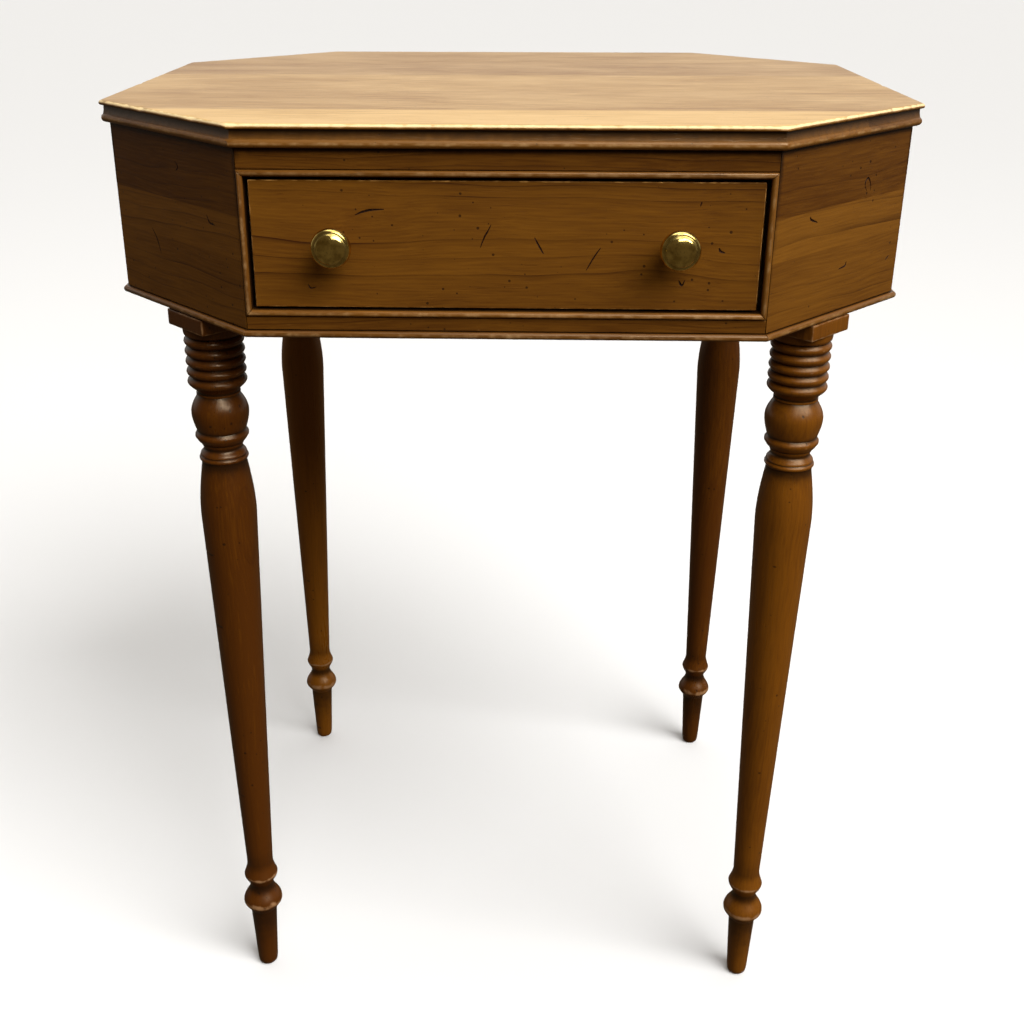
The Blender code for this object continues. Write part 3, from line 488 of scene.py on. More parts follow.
# Glue blocks, runners, guides, kickers and stops: pale wood, planed but neither stained nor polished,
# glued inside the case to take the legs' bolts and to carry, guide and stop the drawer.
INNER_RING = 0.0038
INNER_SHINE = 0.62
INNER_SEED = 40
inner_wood = wood_finish("inner_wood", paint(196, 158, 112), paint(158, 116, 74), paint(126, 84, 48),
                         paint(214, 182, 138), INNER_RING, INNER_SHINE, specks=0.0)
inner_boards = {}
for side in ("left", "right"):
    inner_boards["drawer_runner_" + side] = (BACK, UP)
    inner_boards["drawer_guide_" + side] = (BACK, RIGHT)
    inner_boards["kicker_" + side] = (BACK, UP)
    inner_boards["drawer_stop_" + side] = (RIGHT, UP)
for corner, (side, end, marks) in corners.items():
    across = (side * half_turn, end * half_turn, 0.0)
    inner_boards["corner_block_" + corner] = (tuple(np.cross(across, UP)), across)
for number, (node, (along, depth)) in enumerate(inner_boards.items()):
    mesh = eased_board(node)
    lay_grain(mesh, along, depth, INNER_SEED + number)
    dress("planed_" + node, mesh, inner_wood, "table", "inner_wood", node)


# Base strips: eight narrow strips with a half-round nose, mitred round the foot of the case and
# glued under its walls. Hands and feet have rubbed the finish off their noses.
STRIP_EASE = 0.00022
STRIP_REACH = 0.0005
STRIP_NOSE = 0.0013
STRIP_RUB = 0.62
STRIP_SEED = 70
MOULDING_RING = 0.0040
MOULDING_SHINE = 0.28


def rub_and_highlight_nose(mesh, outward, reach, rub):
    """Marks a strip's nose as rubbed along its crest, also a painted highlight, and the angle behind it as
    hollow.
    """
    back = numbers(mesh.vertices, "co", 3) @ np.array(outward, float)
    back = back.max() - back
    wear_and_highlight = rub * np.clip(1 - back / reach, 0, 1)
    hollow = np.clip((back - reach) / reach, 0, 1)
    mesh.attributes["wear_and_highlight"].data.foreach_set("value", wear_and_highlight)
    mesh.attributes.new("hollow", "FLOAT", "POINT").data.foreach_set("value", hollow)
    return mesh


# Its pale rubbed colour also paints the highlight along the crests of beads.
moulding_wood = wood_finish("moulding_wood", paint(124, 79, 26), paint(84, 48, 12), paint(50, 22, 5),
                            paint(190, 150, 100), MOULDING_RING, MOULDING_SHINE, wear_start=0.45,
                            wear_fade=0.75, specks=0.7, gloss=0.55)
strips = {
    "front": FRONT,
    "rear": BACK,
    "left": (-1.0, 0.0, 0.0),
    "right": RIGHT,
}
for corner, (side, end, marks) in corners.items():
    strips[corner] = (side * half_turn, end * half_turn, 0.0)
for number, (strip, outward) in enumerate(strips.items()):
    node = "base_strip_" + strip
    mesh = rub_and_highlight_nose(eased_board(node, STRIP_EASE, STRIP_REACH), outward, STRIP_NOSE, STRIP_RUB)
    lay_grain(mesh, np.cross(outward, UP), UP, STRIP_SEED + number)
    dress("moulded_" + node, mesh, moulding_wood, "table", "moulding_wood", node)


# Lining beads: four thin strips with a half-round front, mitred at the corners and glued into the
# drawer's opening so that they stand a little proud of the rails.
# The lining beads' crests are rubbed pale, also as a painted highlight.
LINING_RUB_AND_HIGHLIGHT = 0.66
LINING_SEED = 80
for number, place in enumerate(("top", "bottom", "left", "right")):
    node = "cock_bead_" + place
    along = UP if place in ("left", "right") else RIGHT
    mesh = rub_and_highlight_nose(eased_board(node, STRIP_EASE, STRIP_REACH), FRONT, STRIP_NOSE, LINING_RUB_AND_HIGHLIGHT)
    lay_grain(mesh, along, FRONT, LINING_SEED + number)
    dress("moulded_" + node, mesh, moulding_wood, "table", "moulding_wood", node)


# Legs: each turned from one square blank that is left square at the top, as a block set cornerwise
# under the case. Rings, a ball, a disc and a reel lead to a long taper, two beads and a peg foot.
LEG_SIDES = 64
BEAD_STEPS = 10
LEG_BLOCK = 0.040
LEG_BLOCK_HEIGHT = 0.0105
BLOCK_EASE = 0.0007
BLOCK_RUB = 0.75
SHOULDER_HEIGHT = 0.0060
SHOULDER = ((0.0, -0.0030, 0.2, 0.0), (0.0003, -0.0016, 0.2, 0.0), (0.0010, -0.0006, 0.0, 0.4))
RING_COUNT = 5
RING_PITCH = 0.0068
RING_RADIUS, RING_GROOVE = 0.0191, 0.0168
FILLET_DROP, FILLET_HEIGHT, FILLET_RADIUS = 0.0042, 0.0012, 0.0137
FILLET_PROUD = 0.0005
BALL_HEIGHT = 0.0253
BALL_TOP, BALL_RADIUS, BALL_BOTTOM = 0.0133, 0.0186, 0.0159
DISC_SLOPE, DISC_RIM, DISC_RADIUS = 0.0022, 0.0022, 0.0174
DISC_TOP = ((0.0005, -0.0004, 0.4, 0.0), (0.0, 0.0003, 0.62, 0.0))
LIP = ((0.0, -0.0004, 0.62, 0.0), (0.0008, 0.0009, 0.55, 0.0), (0.0014, 0.0019, 0.45, 0.0),
       (0.0022, 0.0029, 0.30, 0.0), (0.0030, 0.0037, 0.10, 0.3), (0.0037, 0.0042, 0.00, 1.0),
       (0.0037, 0.0050, 0.20, 0.1), (0.0042, 0.0060, 0.00, 0.3), (0.0046, 0.0069, 0.00, 0.7))
NECK_DROP, NECK_RADIUS = 0.0076, 0.0125
REEL_HEIGHT, REEL_RADIUS, REEL_QUIRK = 0.0052, 0.0152, 0.0004
COLLAR_HEIGHT, COLLAR_RADIUS, COLLAR_DROP = 0.0040, 0.0161, 0.0023
SHAFT_TOP, SHAFT_SWELL_DROP, SHAFT_SWELL = 0.0149, 0.036, 0.0186
ANKLE_RADIUS, ANKLE_FLARE, ANKLE_BEAD = 0.0097, 0.0120, 0.0126
ANKLE_BEAD_DROP, ANKLE_NECK = 0.0105, 0.0088
FOOT_BEAD_SLOPE, FOOT_BEAD_DROP, FOOT_BEAD = 0.0150, 0.0095, 0.0147
FOOT_HEIGHT, FOOT_TOP, FOOT_RADIUS = 0.0540, 0.0098, 0.0076
FOOT_ROUNDING, FOOT_FLAT, FOOT_EASE = 0.0055, 0.0055, 0.0006
SHAFT_SHARES = (0.1, 0.3, 0.5, 0.7, 0.9)
# Hollow coves take glaze and painted shade; rubbed crests are paler, also as painted highlights.
GLAZED_AND_SHADED, RUBBED_AND_HIGHLIT, BALL_RUB = 0.9, 0.85, 0.25
LEG_SEED = 90
LEG_RING = 0.0060
# Each leg's tone is set to its darkness, so in part it is painted shade, as on the front left leg.
LEG_TONES_AND_SHADE = (1.4, -0.4, -0.9, 1.4)
LEG_SHINE = 0.26
CREASE = math.radians(38)


def turning_tree(slotted):
    """A lathe as a node tree: a chain of points with radii becomes a round solid, joined to a block or
    cut by a slot, and set at each place."""
    tree = bpy.data.node_groups.new("turning", "GeometryNodeTree")
    kinds = {"Chain": "Geometry", "Sides": "Int", "Block": "Object", "Places": "Object", "Turn": "Vector",
             "Finish": "Material"}
    for name, kind in kinds.items():
        tree.interface.new_socket(name, in_out="INPUT", socket_type="NodeSocket" + kind)
    tree.interface.new_socket("Geometry", in_out="OUTPUT", socket_type="NodeSocketGeometry")
    given = tree.nodes.new("NodeGroupInput").outputs
    path = wire(tree, "GeometryNodeMeshToCurve", {"Mesh": given["Chain"]}).outputs["Curve"]
    ring = wire(tree, "GeometryNodeCurvePrimitiveCircle", {"Resolution": given["Sides"], "Radius": 1.0})
    radius = wire(tree, "GeometryNodeInputNamedAttribute", {"Name": "radius"}).outputs["Attribute"]
    inputs = {"Curve": path, "Profile Curve": ring.outputs["Curve"], "Scale": radius}
    solid = wire(tree, "GeometryNodeCurveToMesh", inputs).outputs["Mesh"]
    inputs = {"Geometry": solid, "Distance": MERGE}
    solid = wire(tree, "GeometryNodeMergeByDistance", inputs).outputs["Geometry"]
    block = wire(tree, "GeometryNodeObjectInfo", {"Object": given["Block"]}).outputs["Geometry"]
    if slotted:
        inputs = {"Mesh 1": solid, "Mesh 2": block}
        solid = wire(tree, "GeometryNodeMeshBoolean", inputs, operation="DIFFERENCE").outputs["Mesh"]
    else:
        joined = wire(tree, "GeometryNodeJoinGeometry")
        tree.links.new(solid, joined.inputs[0])
        tree.links.new(block, joined.inputs[0])
        solid = joined.outputs[0]
    places = wire(tree, "GeometryNodeObjectInfo", {"Object": given["Places"]}).outputs["Geometry"]
    turn = wire(tree, "FunctionNodeEulerToRotation", {"Euler": given["Turn"]}).outputs["Rotation"]
    inputs = {"Points": places, "Instance": solid, "Rotation": turn}
    copies = wire(tree, "GeometryNodeInstanceOnPoints", inputs).outputs["Instances"]
    real = wire(tree, "GeometryNodeRealizeInstances", {"Geometry": copies}).outputs["Geometry"]
    inputs = {"Geometry": real, "Material": given["Finish"]}
    done = wire(tree, "GeometryNodeSetMaterial", inputs).outputs["Geometry"]
    tree.links.new(done, tree.nodes.new("NodeGroupOutput").inputs["Geometry"])
    return tree


def helper(name, points, edges=(), values=None):
    """A scratch object for a node tree to read: points, edges, and named values on the points."""
    mesh = bpy.data.meshes.new(name)
    mesh.from_pydata(points, edges, [])
    for title, column in (values or {}).items():
        mesh.attributes.new(title, "FLOAT", "POINT").data.foreach_set("value", column)
    return shown(name, mesh)


def turned(name, profile, sides, places, material, turn=(0.0, 0.0, 0.0), block=None, slot=None):
    """Turns a profile of (radius, height, wear, hollow) at every place, as one plain mesh, and uses up
    the block or slot."""
    count = len(profile)
    radius, height, wear_and_highlight, hollow = zip(*profile)
    chain = helper(name, [(0, 0, z) for z in height], [(i, i + 1) for i in range(count - 1)],
                   {"radius": radius, "wear_and_highlight": wear_and_highlight, "hollow": hollow})
    spots = helper(name + "_places", places)
    tree = slotted_turning if slot else plain_turning
    lathe = chain.modifiers.new("lathe", "NODES")
    lathe.node_group = tree
    settings = {"Sides": sides, "Block": slot or block, "Places": spots, "Turn": turn, "Finish": material}
    for socket in tree.interface.items_tree:
        if socket.in_out == "INPUT" and settings.get(socket.name) is not None:
            lathe[socket.identifier] = settings[socket.name]
    mesh = taken(chain, spots, *filter(None, (block, slot)))
    shape = bmesh.new()
    shape.from_mesh(mesh)
    bmesh.ops.recalc_face_normals(shape, faces=shape.faces)
    for face in shape.faces:
        face.smooth = True
    shape.to_mesh(mesh)
    shape.free()
    mesh.set_sharp_from_angle(angle=CREASE)
    return mesh


def bead(inner, outer, top, bottom, rub=0.6):
    """A rounded bead down a turning: hollow where it leaves the inner radius, with glaze and painted shade,
    and rubbed on its crest, with a painted highlight.
    """
    points = []
    for i in range(BEAD_STEPS + 1):
        crest = math.sin(math.pi * i / BEAD_STEPS)
        points.append((inner + (outer - inner) * crest, top + (bottom - top) * i / BEAD_STEPS,
                       rub * crest ** 4, (1 - crest) ** 1.5))
    return points


def sweep(start, end, top, bottom, curve, hollow=0.0, wear_and_highlight=0.0):
    """A curve down a turning: 'out' leaves steeply, 'in' arrives steeply, and 'ogee' does neither.
    Its narrow end is hollow, with glaze and painted shade; its wide end is rubbed, with a painted highlight."""
    points = []
    for i in range(BEAD_STEPS + 1):
        turn = i / BEAD_STEPS
        if curve == "out":
            share = math.sin(turn * math.pi / 2)
        elif curve == "in":
            share = 1 - math.cos(turn * math.pi / 2)
        else:
            share = (1 - math.cos(turn * math.pi)) / 2
        narrow = share if end < start else 1 - share
        points.append((start + (end - start) * share, top + (bottom - top) * turn,
                       wear_and_highlight * (1 - narrow) ** 3, hollow * narrow ** 3))
    return points


def worked(radius, height, rows):
    """Points of a turning from rows of inset, drop, wear and hollow, taken from a radius and a height."""
    return [(radius - inset, height - drop, wear_and_highlight, hollow) for inset, drop, wear_and_highlight, hollow in rows]


def leg_profile(block_bottom):
    """The leg's turnings from inside its block down to the floor."""
    z = block_bottom - SHOULDER_HEIGHT
    inside = block_bottom + LEG_BLOCK_HEIGHT / 2
    points = [(0, inside, 0, 0), (RING_RADIUS, inside, 0, 0)] + worked(RING_RADIUS, z, SHOULDER)
    for _ in range(RING_COUNT):
        points += bead(RING_GROOVE, RING_RADIUS, z, z - RING_PITCH)[:-1]
        z -= RING_PITCH
    points += sweep(RING_GROOVE, FILLET_RADIUS, z, z - FILLET_DROP, "out", 1.0)
    z -= FILLET_DROP + FILLET_HEIGHT
    fillet = FILLET_RADIUS + FILLET_PROUD
    points += [(fillet, z + FILLET_HEIGHT * 0.9, 0.4, 0), (fillet, z, 0.4, 0)]
    waist = z - BALL_HEIGHT / 2
    points += sweep(BALL_TOP, BALL_RADIUS, z, waist, "out", GLAZED_AND_SHADED, BALL_RUB)
    z -= BALL_HEIGHT
    points += sweep(BALL_RADIUS, BALL_BOTTOM, waist, z, "in", GLAZED_AND_SHADED, BALL_RUB)[1:]
    z -= DISC_SLOPE
    points += worked(DISC_RADIUS, z, DISC_TOP)
    z -= DISC_RIM
    points += worked(DISC_RADIUS, z, LIP)
    z -= NECK_DROP
    points += sweep(NECK_RADIUS, REEL_RADIUS, z, z - REEL_HEIGHT + REEL_QUIRK, "ogee", GLAZED_AND_SHADED, 0.5)
    z -= REEL_HEIGHT
    quirk = REEL_RADIUS - REEL_QUIRK
    points += [(quirk, z, 0, 1.0)] + bead(quirk, COLLAR_RADIUS, z, z - COLLAR_HEIGHT)[1:]
    z -= COLLAR_HEIGHT + COLLAR_DROP
    swell_z = z - SHAFT_SWELL_DROP
    points += sweep(SHAFT_TOP, SHAFT_SWELL, z, swell_z, "out", 0.8, 0.1)
    widest = FOOT_HEIGHT + FOOT_BEAD_DROP
    neck_z = widest + FOOT_BEAD_SLOPE
    ankle_z = neck_z + ANKLE_BEAD_DROP
    flare_z = ankle_z + ANKLE_FLARE
    for share in SHAFT_SHARES:
        radius = SHAFT_SWELL + (ANKLE_RADIUS - SHAFT_SWELL) * share
        points.append((radius, swell_z + (flare_z - swell_z) * share, 0.1, 0))
    points += sweep(ANKLE_RADIUS, ANKLE_BEAD, flare_z, ankle_z, "in", GLAZED_AND_SHADED / 2, RUBBED_AND_HIGHLIT)
    points += sweep(ANKLE_BEAD, ANKLE_NECK, ankle_z, neck_z, "ogee", GLAZED_AND_SHADED, RUBBED_AND_HIGHLIT)[1:]
    points += sweep(ANKLE_NECK, FOOT_BEAD, neck_z, widest, "ogee", GLAZED_AND_SHADED, RUBBED_AND_HIGHLIT)[1:]
    points += sweep(FOOT_BEAD, FOOT_TOP, widest, FOOT_HEIGHT, "ogee", 0.8, RUBBED_AND_HIGHLIT)[1:]
    points += [(FOOT_RADIUS, FOOT_ROUNDING, 0.3, 0), (FOOT_RADIUS - FOOT_EASE, FOOT_ROUNDING / 3, 0.6, 0)]
    return points + [(FOOT_FLAT, 0, 0.7, 0), (0, 0, 0, 0)]


def leg_block(low, high):
    """The square block at the head of a leg, its arrises rounded and marked as worn."""
    shape = bmesh.new()
    wear_and_highlight = shape.verts.layers.float.new("wear_and_highlight")
    size = Matrix.Diagonal((LEG_BLOCK, LEG_BLOCK, high - low, 1.0))
    bmesh.ops.create_cube(shape, size=1.0, matrix=Matrix.Translation((0, 0, (low + high) / 2)) @ size)
    made = bmesh.ops.bevel(shape, geom=shape.edges[:], offset=BLOCK_EASE, segments=3, profile=0.5,
                           affect="EDGES")
    rounded = set(made["faces"])
    flats = [face for face in shape.faces if face not in rounded]
    bmesh.ops.inset_region(shape, faces=flats, thickness=WEAR_REACH, use_boundary=True, use_even_offset=True)
    for vertex in shape.verts:
        vertex[wear_and_highlight] = BLOCK_RUB * any(face in rounded for face in vertex.link_faces)
    return shown("leg_block", as_mesh("leg_block", shape))


plain_turning = turning_tree(False)
slotted_turning = turning_tree(True)
leg_wood = wood_finish("leg_wood", paint(121, 71, 13), paint(79, 40, 6), paint(48, 20, 4),
                       paint(150, 111, 74), LEG_RING, LEG_SHINE, wear_start=0.64, specks=1.2, gloss=0.42,
                       figure=0.4)
leg_nodes = ["leg_" + corner for corner in corners]
leg_boxes = [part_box(node) for node in leg_nodes]
leg_places = [((low.x + high.x) / 2, (low.y + high.y) / 2, 0.0) for low, high in leg_boxes]
leg_top = leg_boxes[0][1].z
block_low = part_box("base_strip_front")[0].z - LEG_BLOCK_HEIGHT
block = leg_block(block_low, leg_top)
mesh = turned("turned_legs", leg_profile(block_low), LEG_SIDES, leg_places, leg_wood,
              (0, 0, math.pi / 4), block)
lay_grain(mesh, UP, BACK, LEG_SEED,
          lambda centres: (centres[:, 0] > 0) + 2 * (centres[:, 1] > 0), LEG_TONES_AND_SHADE)
dress("turned_legs", mesh, leg_wood, "table", "leg_wood", *leg_nodes)


# Hanger bolts and nuts: plated steel. A coarse thread holds in the leg, a machine thread stands up
# through the glue block, and a flanged hexagon nut draws the leg tight under the case.
BOLT_SIDES = 20
BOLT_RADIUS = 0.0025
BOLT_ROOT = 0.0021
MACHINE_PITCH = 0.0008
WOOD_PITCH = 0.0020
NUT_FLATS = 0.0080
NUT_FLANGE = 0.0014
NUT_EASE = 0.0004
SCRATCH_DEPTH = 0.00005


def steel_finish():
    """Zinc-plated steel: grey, with cloudy dull patches and fine scratches."""
    material, tree, shader = new_finish("plated_steel")
    place = wire(tree, "ShaderNodeTexCoord").outputs["Object"]
    dull = cloudy(tree, place, (240.0, 240.0, 240.0), 3.0)
    scratch = cloudy(tree, place, (300.0, 2400.0, 2400.0), 2.0)
    colour = tinted(tree, step(tree, dull, 0.40, 0.70), paint(176, 174, 168), paint(112, 106, 96))
    lay_on(tree, shader, colour, total(tree, 0.12, (dull, 0.5)), scratch, 0.2, SCRATCH_DEPTH)
    shader.inputs["Metallic"].default_value = 1.0
    return material


def thread(low, high, pitch, radius, root):
    """The ridges of a thread, from the high end to the low one."""
    points = []
    count = int((high - low) / pitch)
    for i in range(count):
        top = high - i * pitch
        points += [(radius, top, 0, 0), (root, top - pitch / 2, 0, 0)]
    return points


plated_steel = steel_finish()
bolt_nodes = ["leg_bolt_" + corner for corner in corners]
nut_nodes = ["leg_nut_" + corner for corner in corners]
bolt_low, bolt_high = (end.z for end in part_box(bolt_nodes[0]))
nut_low, nut_high = (end.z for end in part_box(nut_nodes[0]))
flange = (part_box(nut_nodes[0])[1].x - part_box(nut_nodes[0])[0].x) / 2
profile = [(0, bolt_high, 0, 0), (BOLT_ROOT, bolt_high, 0, 0)]
profile += thread(leg_top, bolt_high - MACHINE_PITCH / 2, MACHINE_PITCH, BOLT_RADIUS, BOLT_ROOT)
profile += thread(bolt_low + BOLT_RADIUS, leg_top, WOOD_PITCH, BOLT_RADIUS, BOLT_ROOT * 0.8)
profile += [(BOLT_RADIUS * 0.6, bolt_low + BOLT_RADIUS * 0.8, 0, 0), (0, bolt_low, 0, 0)]
mesh = turned("leg_bolts", profile, BOLT_SIDES, leg_places, plated_steel)
dress("leg_bolts", mesh, plated_steel, "table", "steel", *bolt_nodes)

shape = bmesh.new()
hexagon = Matrix.Translation((0, 0, (nut_low + nut_high) / 2))
nut_corner = NUT_FLATS / math.sqrt(3)
bmesh.ops.create_cone(shape, cap_ends=True, segments=6, radius1=nut_corner, radius2=nut_corner,
                      depth=nut_high - nut_low, matrix=hexagon)
bmesh.ops.bevel(shape, geom=shape.edges[:], offset=NUT_EASE, segments=2, profile=0.5, affect="EDGES")
nut_body = shown("nut_body", as_mesh("nut_body", shape))
steps = ((0, 1.6), (NUT_FLATS / 2, 1.6), (flange - NUT_EASE, 0.7), (flange, 0.4), (flange, 0), (0, 0))
profile = [(radius, nut_low + NUT_FLANGE * share, 0, 0) for radius, share in steps]
mesh = turned("leg_nuts", profile, LEG_SIDES, leg_places, plated_steel, block=nut_body)
dress("leg_nuts", mesh, plated_steel, "table", "steel", *nut_nodes)


# Top: an octagon of boards glued side by side, with a nose, a quirk and a bead worked round its edge.
# Its arris is rubbed bright and chipped, most of all at the corners and along the left chamfer.
TOP_CORNER_CUT = 0.1015
NOSE_HEIGHT = 0.0030
QUIRK_HEIGHT, QUIRK_DEPTH = 0.0006, 0.0025
BAND_HEIGHT, BAND_STEPS = 0.0046, 5
EDGE_BEAD_HEIGHT, EDGE_BEAD_SET, EDGE_RUB_AND_HIGHLIGHT = 0.0053, 0.0005, 0.70
NOSE = ((0.0300, 0.0, 0.0, 0.0), (0.0080, 0.0, 0.0, 0.0), (0.0030, 0.0, 0.05, 0.0),
        (0.0016, 0.00005, 0.45, 0.0), (0.0009, 0.0003, 0.80, 0.0), (0.0004, 0.0008, 0.92, 0.0),
        (0.0001, 0.0014, 0.88, 0.0), (0.0, 0.0020, 0.62, 0.0), (0.0001, 0.0025, 0.2, 0.3),
        (0.0006, NOSE_HEIGHT, 0.0, 0.7), (0.8 * QUIRK_DEPTH, NOSE_HEIGHT + QUIRK_HEIGHT / 2, 0.0, 1.0),
        (QUIRK_DEPTH, NOSE_HEIGHT + QUIRK_HEIGHT, 0.0, 1.0))
UNDERSIDE_INSET = 0.0400
EDGE_STEP = 0.0035
EDGE_STEPS = 12
# From this level of the edge down, faces take the moulding wood, without the top's painted sheen.
DARK_LEVEL = 6
TOP_JOINTS = (-0.159, -0.066, 0.033, 0.128)
# The front board is the palest, as painted sheen; the others differ a little in tone.
TOP_TONES_AND_SHEEN = (-0.9, 0.25, 0.10, 0.55, 0.40)
TOP_RING = 0.0052
TOP_SHINE = 0.30
TOP_SEED = 100
CHIP_WIDTH, CHIP_SINK, CHIP_RUB = 0.0035, 0.5, 1500
ARRIS_DROP, ARRIS_REACH, ARRIS_INSET = 0.0004, 0.0026, 0.002
CHIPS = (
    (7, 0.34, 0.0011), (7, 0.74, 0.0010), (7, 0.22, 0.0006), (0, 0.995, 0.0007), (0, 0.004, 0.0010),
    (1, 0.77, 0.0008), (1, 0.02, 0.0006), (0, 0.31, 0.0004), (0, 0.66, 0.0004), (2, 0.40, 0.0008),
    (3, 0.55, 0.0009), (4, 0.18, 0.0007), (4, 0.71, 0.0008), (5, 0.35, 0.0009), (6, 0.62, 0.0008),
)


def edge_profile(top):
    """The worked edge from the flat of the top to its underside: inset, height, wear and hollow."""
    levels = [(inset, top - drop, wear_and_highlight, hollow) for inset, drop, wear_and_highlight, hollow in NOSE]
    half = EDGE_BEAD_HEIGHT / 2
    band_top = top - NOSE_HEIGHT - QUIRK_HEIGHT
    bead_top = band_top - BAND_HEIGHT
    bead = []
    # The bead's crest is rubbed pale, also as a painted highlight, and its foot is hollow, with painted
    # shade.
    for i in range(2, EDGE_STEPS + 1):
        turn = math.pi * i / EDGE_STEPS
        crest = math.sin(turn)
        bead.append((EDGE_BEAD_SET + half * (1 - crest), bead_top - half * (1 - math.cos(turn)),
                     EDGE_RUB_AND_HIGHLIGHT * crest ** 6, 0.8 * (1 - crest)))
    join, join_height = bead[0][:2]
    # The band under the quirk is hollow, with glaze and painted shade.
    for i in range(1, BAND_STEPS):
        share = i / BAND_STEPS
        inset = QUIRK_DEPTH + (join - QUIRK_DEPTH) * share ** 2
        levels.append((inset, band_top + (join_height - band_top) * share, 0.0, 0.55 * (1 - share) + 0.42))
    return levels + bead + [(UNDERSIDE_INSET, bead[-1][1], 0.0, 0.3)]


def top_outline(inset, half_width, half_depth, middle):
    """The eight corners of the top, drawn in by an inset, from the front left one round to the right."""
    cut = TOP_CORNER_CUT - inset * (2 - math.sqrt(2))
    wide, deep = half_width - inset, half_depth - inset
    quarter = [(wide - cut, -deep), (wide, cut - deep)]
    right = quarter + [(x, -y) for x, y in reversed(quarter)]
    around = right + [(-x, y) for x, y in reversed(right)]
    return [Vector((x, y + middle, 0.0)) for x, y in around[-1:] + around[:-1]]


def worked_top():
    """The top as one closed mesh: rings of points down the worked edge, closed above and below."""
    low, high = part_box("top_panel")
    half_width, half_depth = (high.x - low.x) / 2, (high.y - low.y) / 2
    middle = (low.y + high.y) / 2
    levels = edge_profile(high.z)
    outer = top_outline(0.0, half_width, half_depth, middle)
    counts = [round((outer[(e + 1) % 8] - outer[e]).length / EDGE_STEP) for e in range(8)]
    shape = bmesh.new()
    wear_layer = shape.verts.layers.float.new("wear_and_highlight")
    hollow_layer = shape.verts.layers.float.new("hollow")
    rings = []
    for inset, height, wear_and_highlight, hollow in levels:
        outline = top_outline(inset, half_width, half_depth, middle)
        ring = []
        for e in range(8):
            start, end = outline[e], outline[(e + 1) % 8]
            inward = Vector((start.y - end.y, end.x - start.x, 0.0)).normalized()
            length = (outer[(e + 1) % 8] - outer[e]).length
            for i in range(counts[e]):
                share = i / counts[e]
                chip = 0.0
                for edge, spot, depth in CHIPS:
                    away = (e - edge) * length + (share - spot) * length
                    chip = max(chip, depth * math.exp(-(away / CHIP_WIDTH) ** 2))
                nearness = max(0.0, 1 - abs(height - high.z + ARRIS_DROP) / ARRIS_REACH)
                chip *= nearness * (inset < ARRIS_INSET)
                point = start.lerp(end, share) + inward * chip
                vertex = shape.verts.new((point.x, point.y, height - CHIP_SINK * chip))
                vertex[wear_layer] = max(wear_and_highlight, min(1.0, CHIP_RUB * chip))
                vertex[hollow_layer] = hollow
                ring.append(vertex)
        rings.append(ring)
    count = len(rings[0])
    for level, (upper, lower) in enumerate(zip(rings, rings[1:])):
        for i in range(count):
            after = (i + 1) % count
            face = shape.faces.new((upper[i], lower[i], lower[after], upper[after]))
            face.smooth = True
            face.material_index = int(level >= DARK_LEVEL)
    shape.faces.new(rings[0])
    shape.faces.new(rings[-1][::-1]).material_index = 1
    bmesh.ops.recalc_face_normals(shape, faces=shape.faces)
    mesh = as_mesh("worked_top", shape)
    mesh.set_sharp_from_angle(angle=CREASE)
    return mesh, middle


# The top's wood is paler and more golden than the same wood on the case, as painted sheen.
top_wood = wood_finish("top_wood", paint(210, 170, 105), paint(124, 83, 41), paint(98, 60, 29),
                       paint(236, 208, 154), TOP_RING, TOP_SHINE, specks=0.55, gloss=0.5)
mesh, middle = worked_top()
mesh.materials.append(top_wood)
mesh.materials.append(moulding_wood)
sorter = split_boards(mesh, TOP_JOINTS, BACK, (0.0, middle, 0.0))
lay_grain(mesh, RIGHT, UP, TOP_SEED, sorter, TOP_TONES_AND_SHEEN)
dress("worked_top", mesh, top_wood, "table", "top_wood", "top_panel")


# Top screws: four plated steel screws with slotted pan heads, driven up through the kickers into
# blind holes in the top, which they draw down on the case.
SCREW_RADIUS, SCREW_ROOT = 0.0020, 0.0015
SCREW_PITCH = 0.0016
SCREW_HEAD, SCREW_HEAD_HEIGHT = 0.0040, 0.0024
SLOT_WIDTH, SLOT_DEPTH = 0.0011, 0.0011
TOP_SLOT_TURN = 0.6


def screw_profile(length):
    """A pan-head screw from its head, at 0, up to its point."""
    head = SCREW_HEAD_HEIGHT
    pan = ((0.0, 0.0), (0.55, 0.0), (0.86, 0.2), (1.0, 0.55), (1.0, 0.92), (0.95, 1.0))
    points = [(SCREW_HEAD * wide, head * tall, 0, 0) for wide, tall in pan]
    ridges = thread(head, length - SCREW_PITCH, SCREW_PITCH, SCREW_RADIUS, SCREW_ROOT)
    return points + ridges[::-1] + [(0, length, 0, 0)]


def screws(name, length, places, turn):
    """Screws with slotted heads, at each place."""
    shape = bmesh.new()
    size = Matrix.Diagonal((SCREW_HEAD * 3, SLOT_WIDTH, SLOT_DEPTH * 2, 1.0))
    bmesh.ops.create_cube(shape, size=1.0, matrix=size)
    slot = shown("screw_slot", as_mesh("screw_slot", shape))
    return turned(name, screw_profile(length), BOLT_SIDES, places, plated_steel, turn, slot=slot)


screw_nodes = ["top_screw_%d" % number for number in range(1, 5)]
screw_boxes = [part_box(node) for node in screw_nodes]
places = [((low.x + high.x) / 2, (low.y + high.y) / 2, low.z) for low, high in screw_boxes]
length = screw_boxes[0][1].z - screw_boxes[0][0].z
mesh = screws("top_screws", length, places, (0, 0, TOP_SLOT_TURN))
dress("top_screws", mesh, plated_steel, "table", "steel", *screw_nodes)


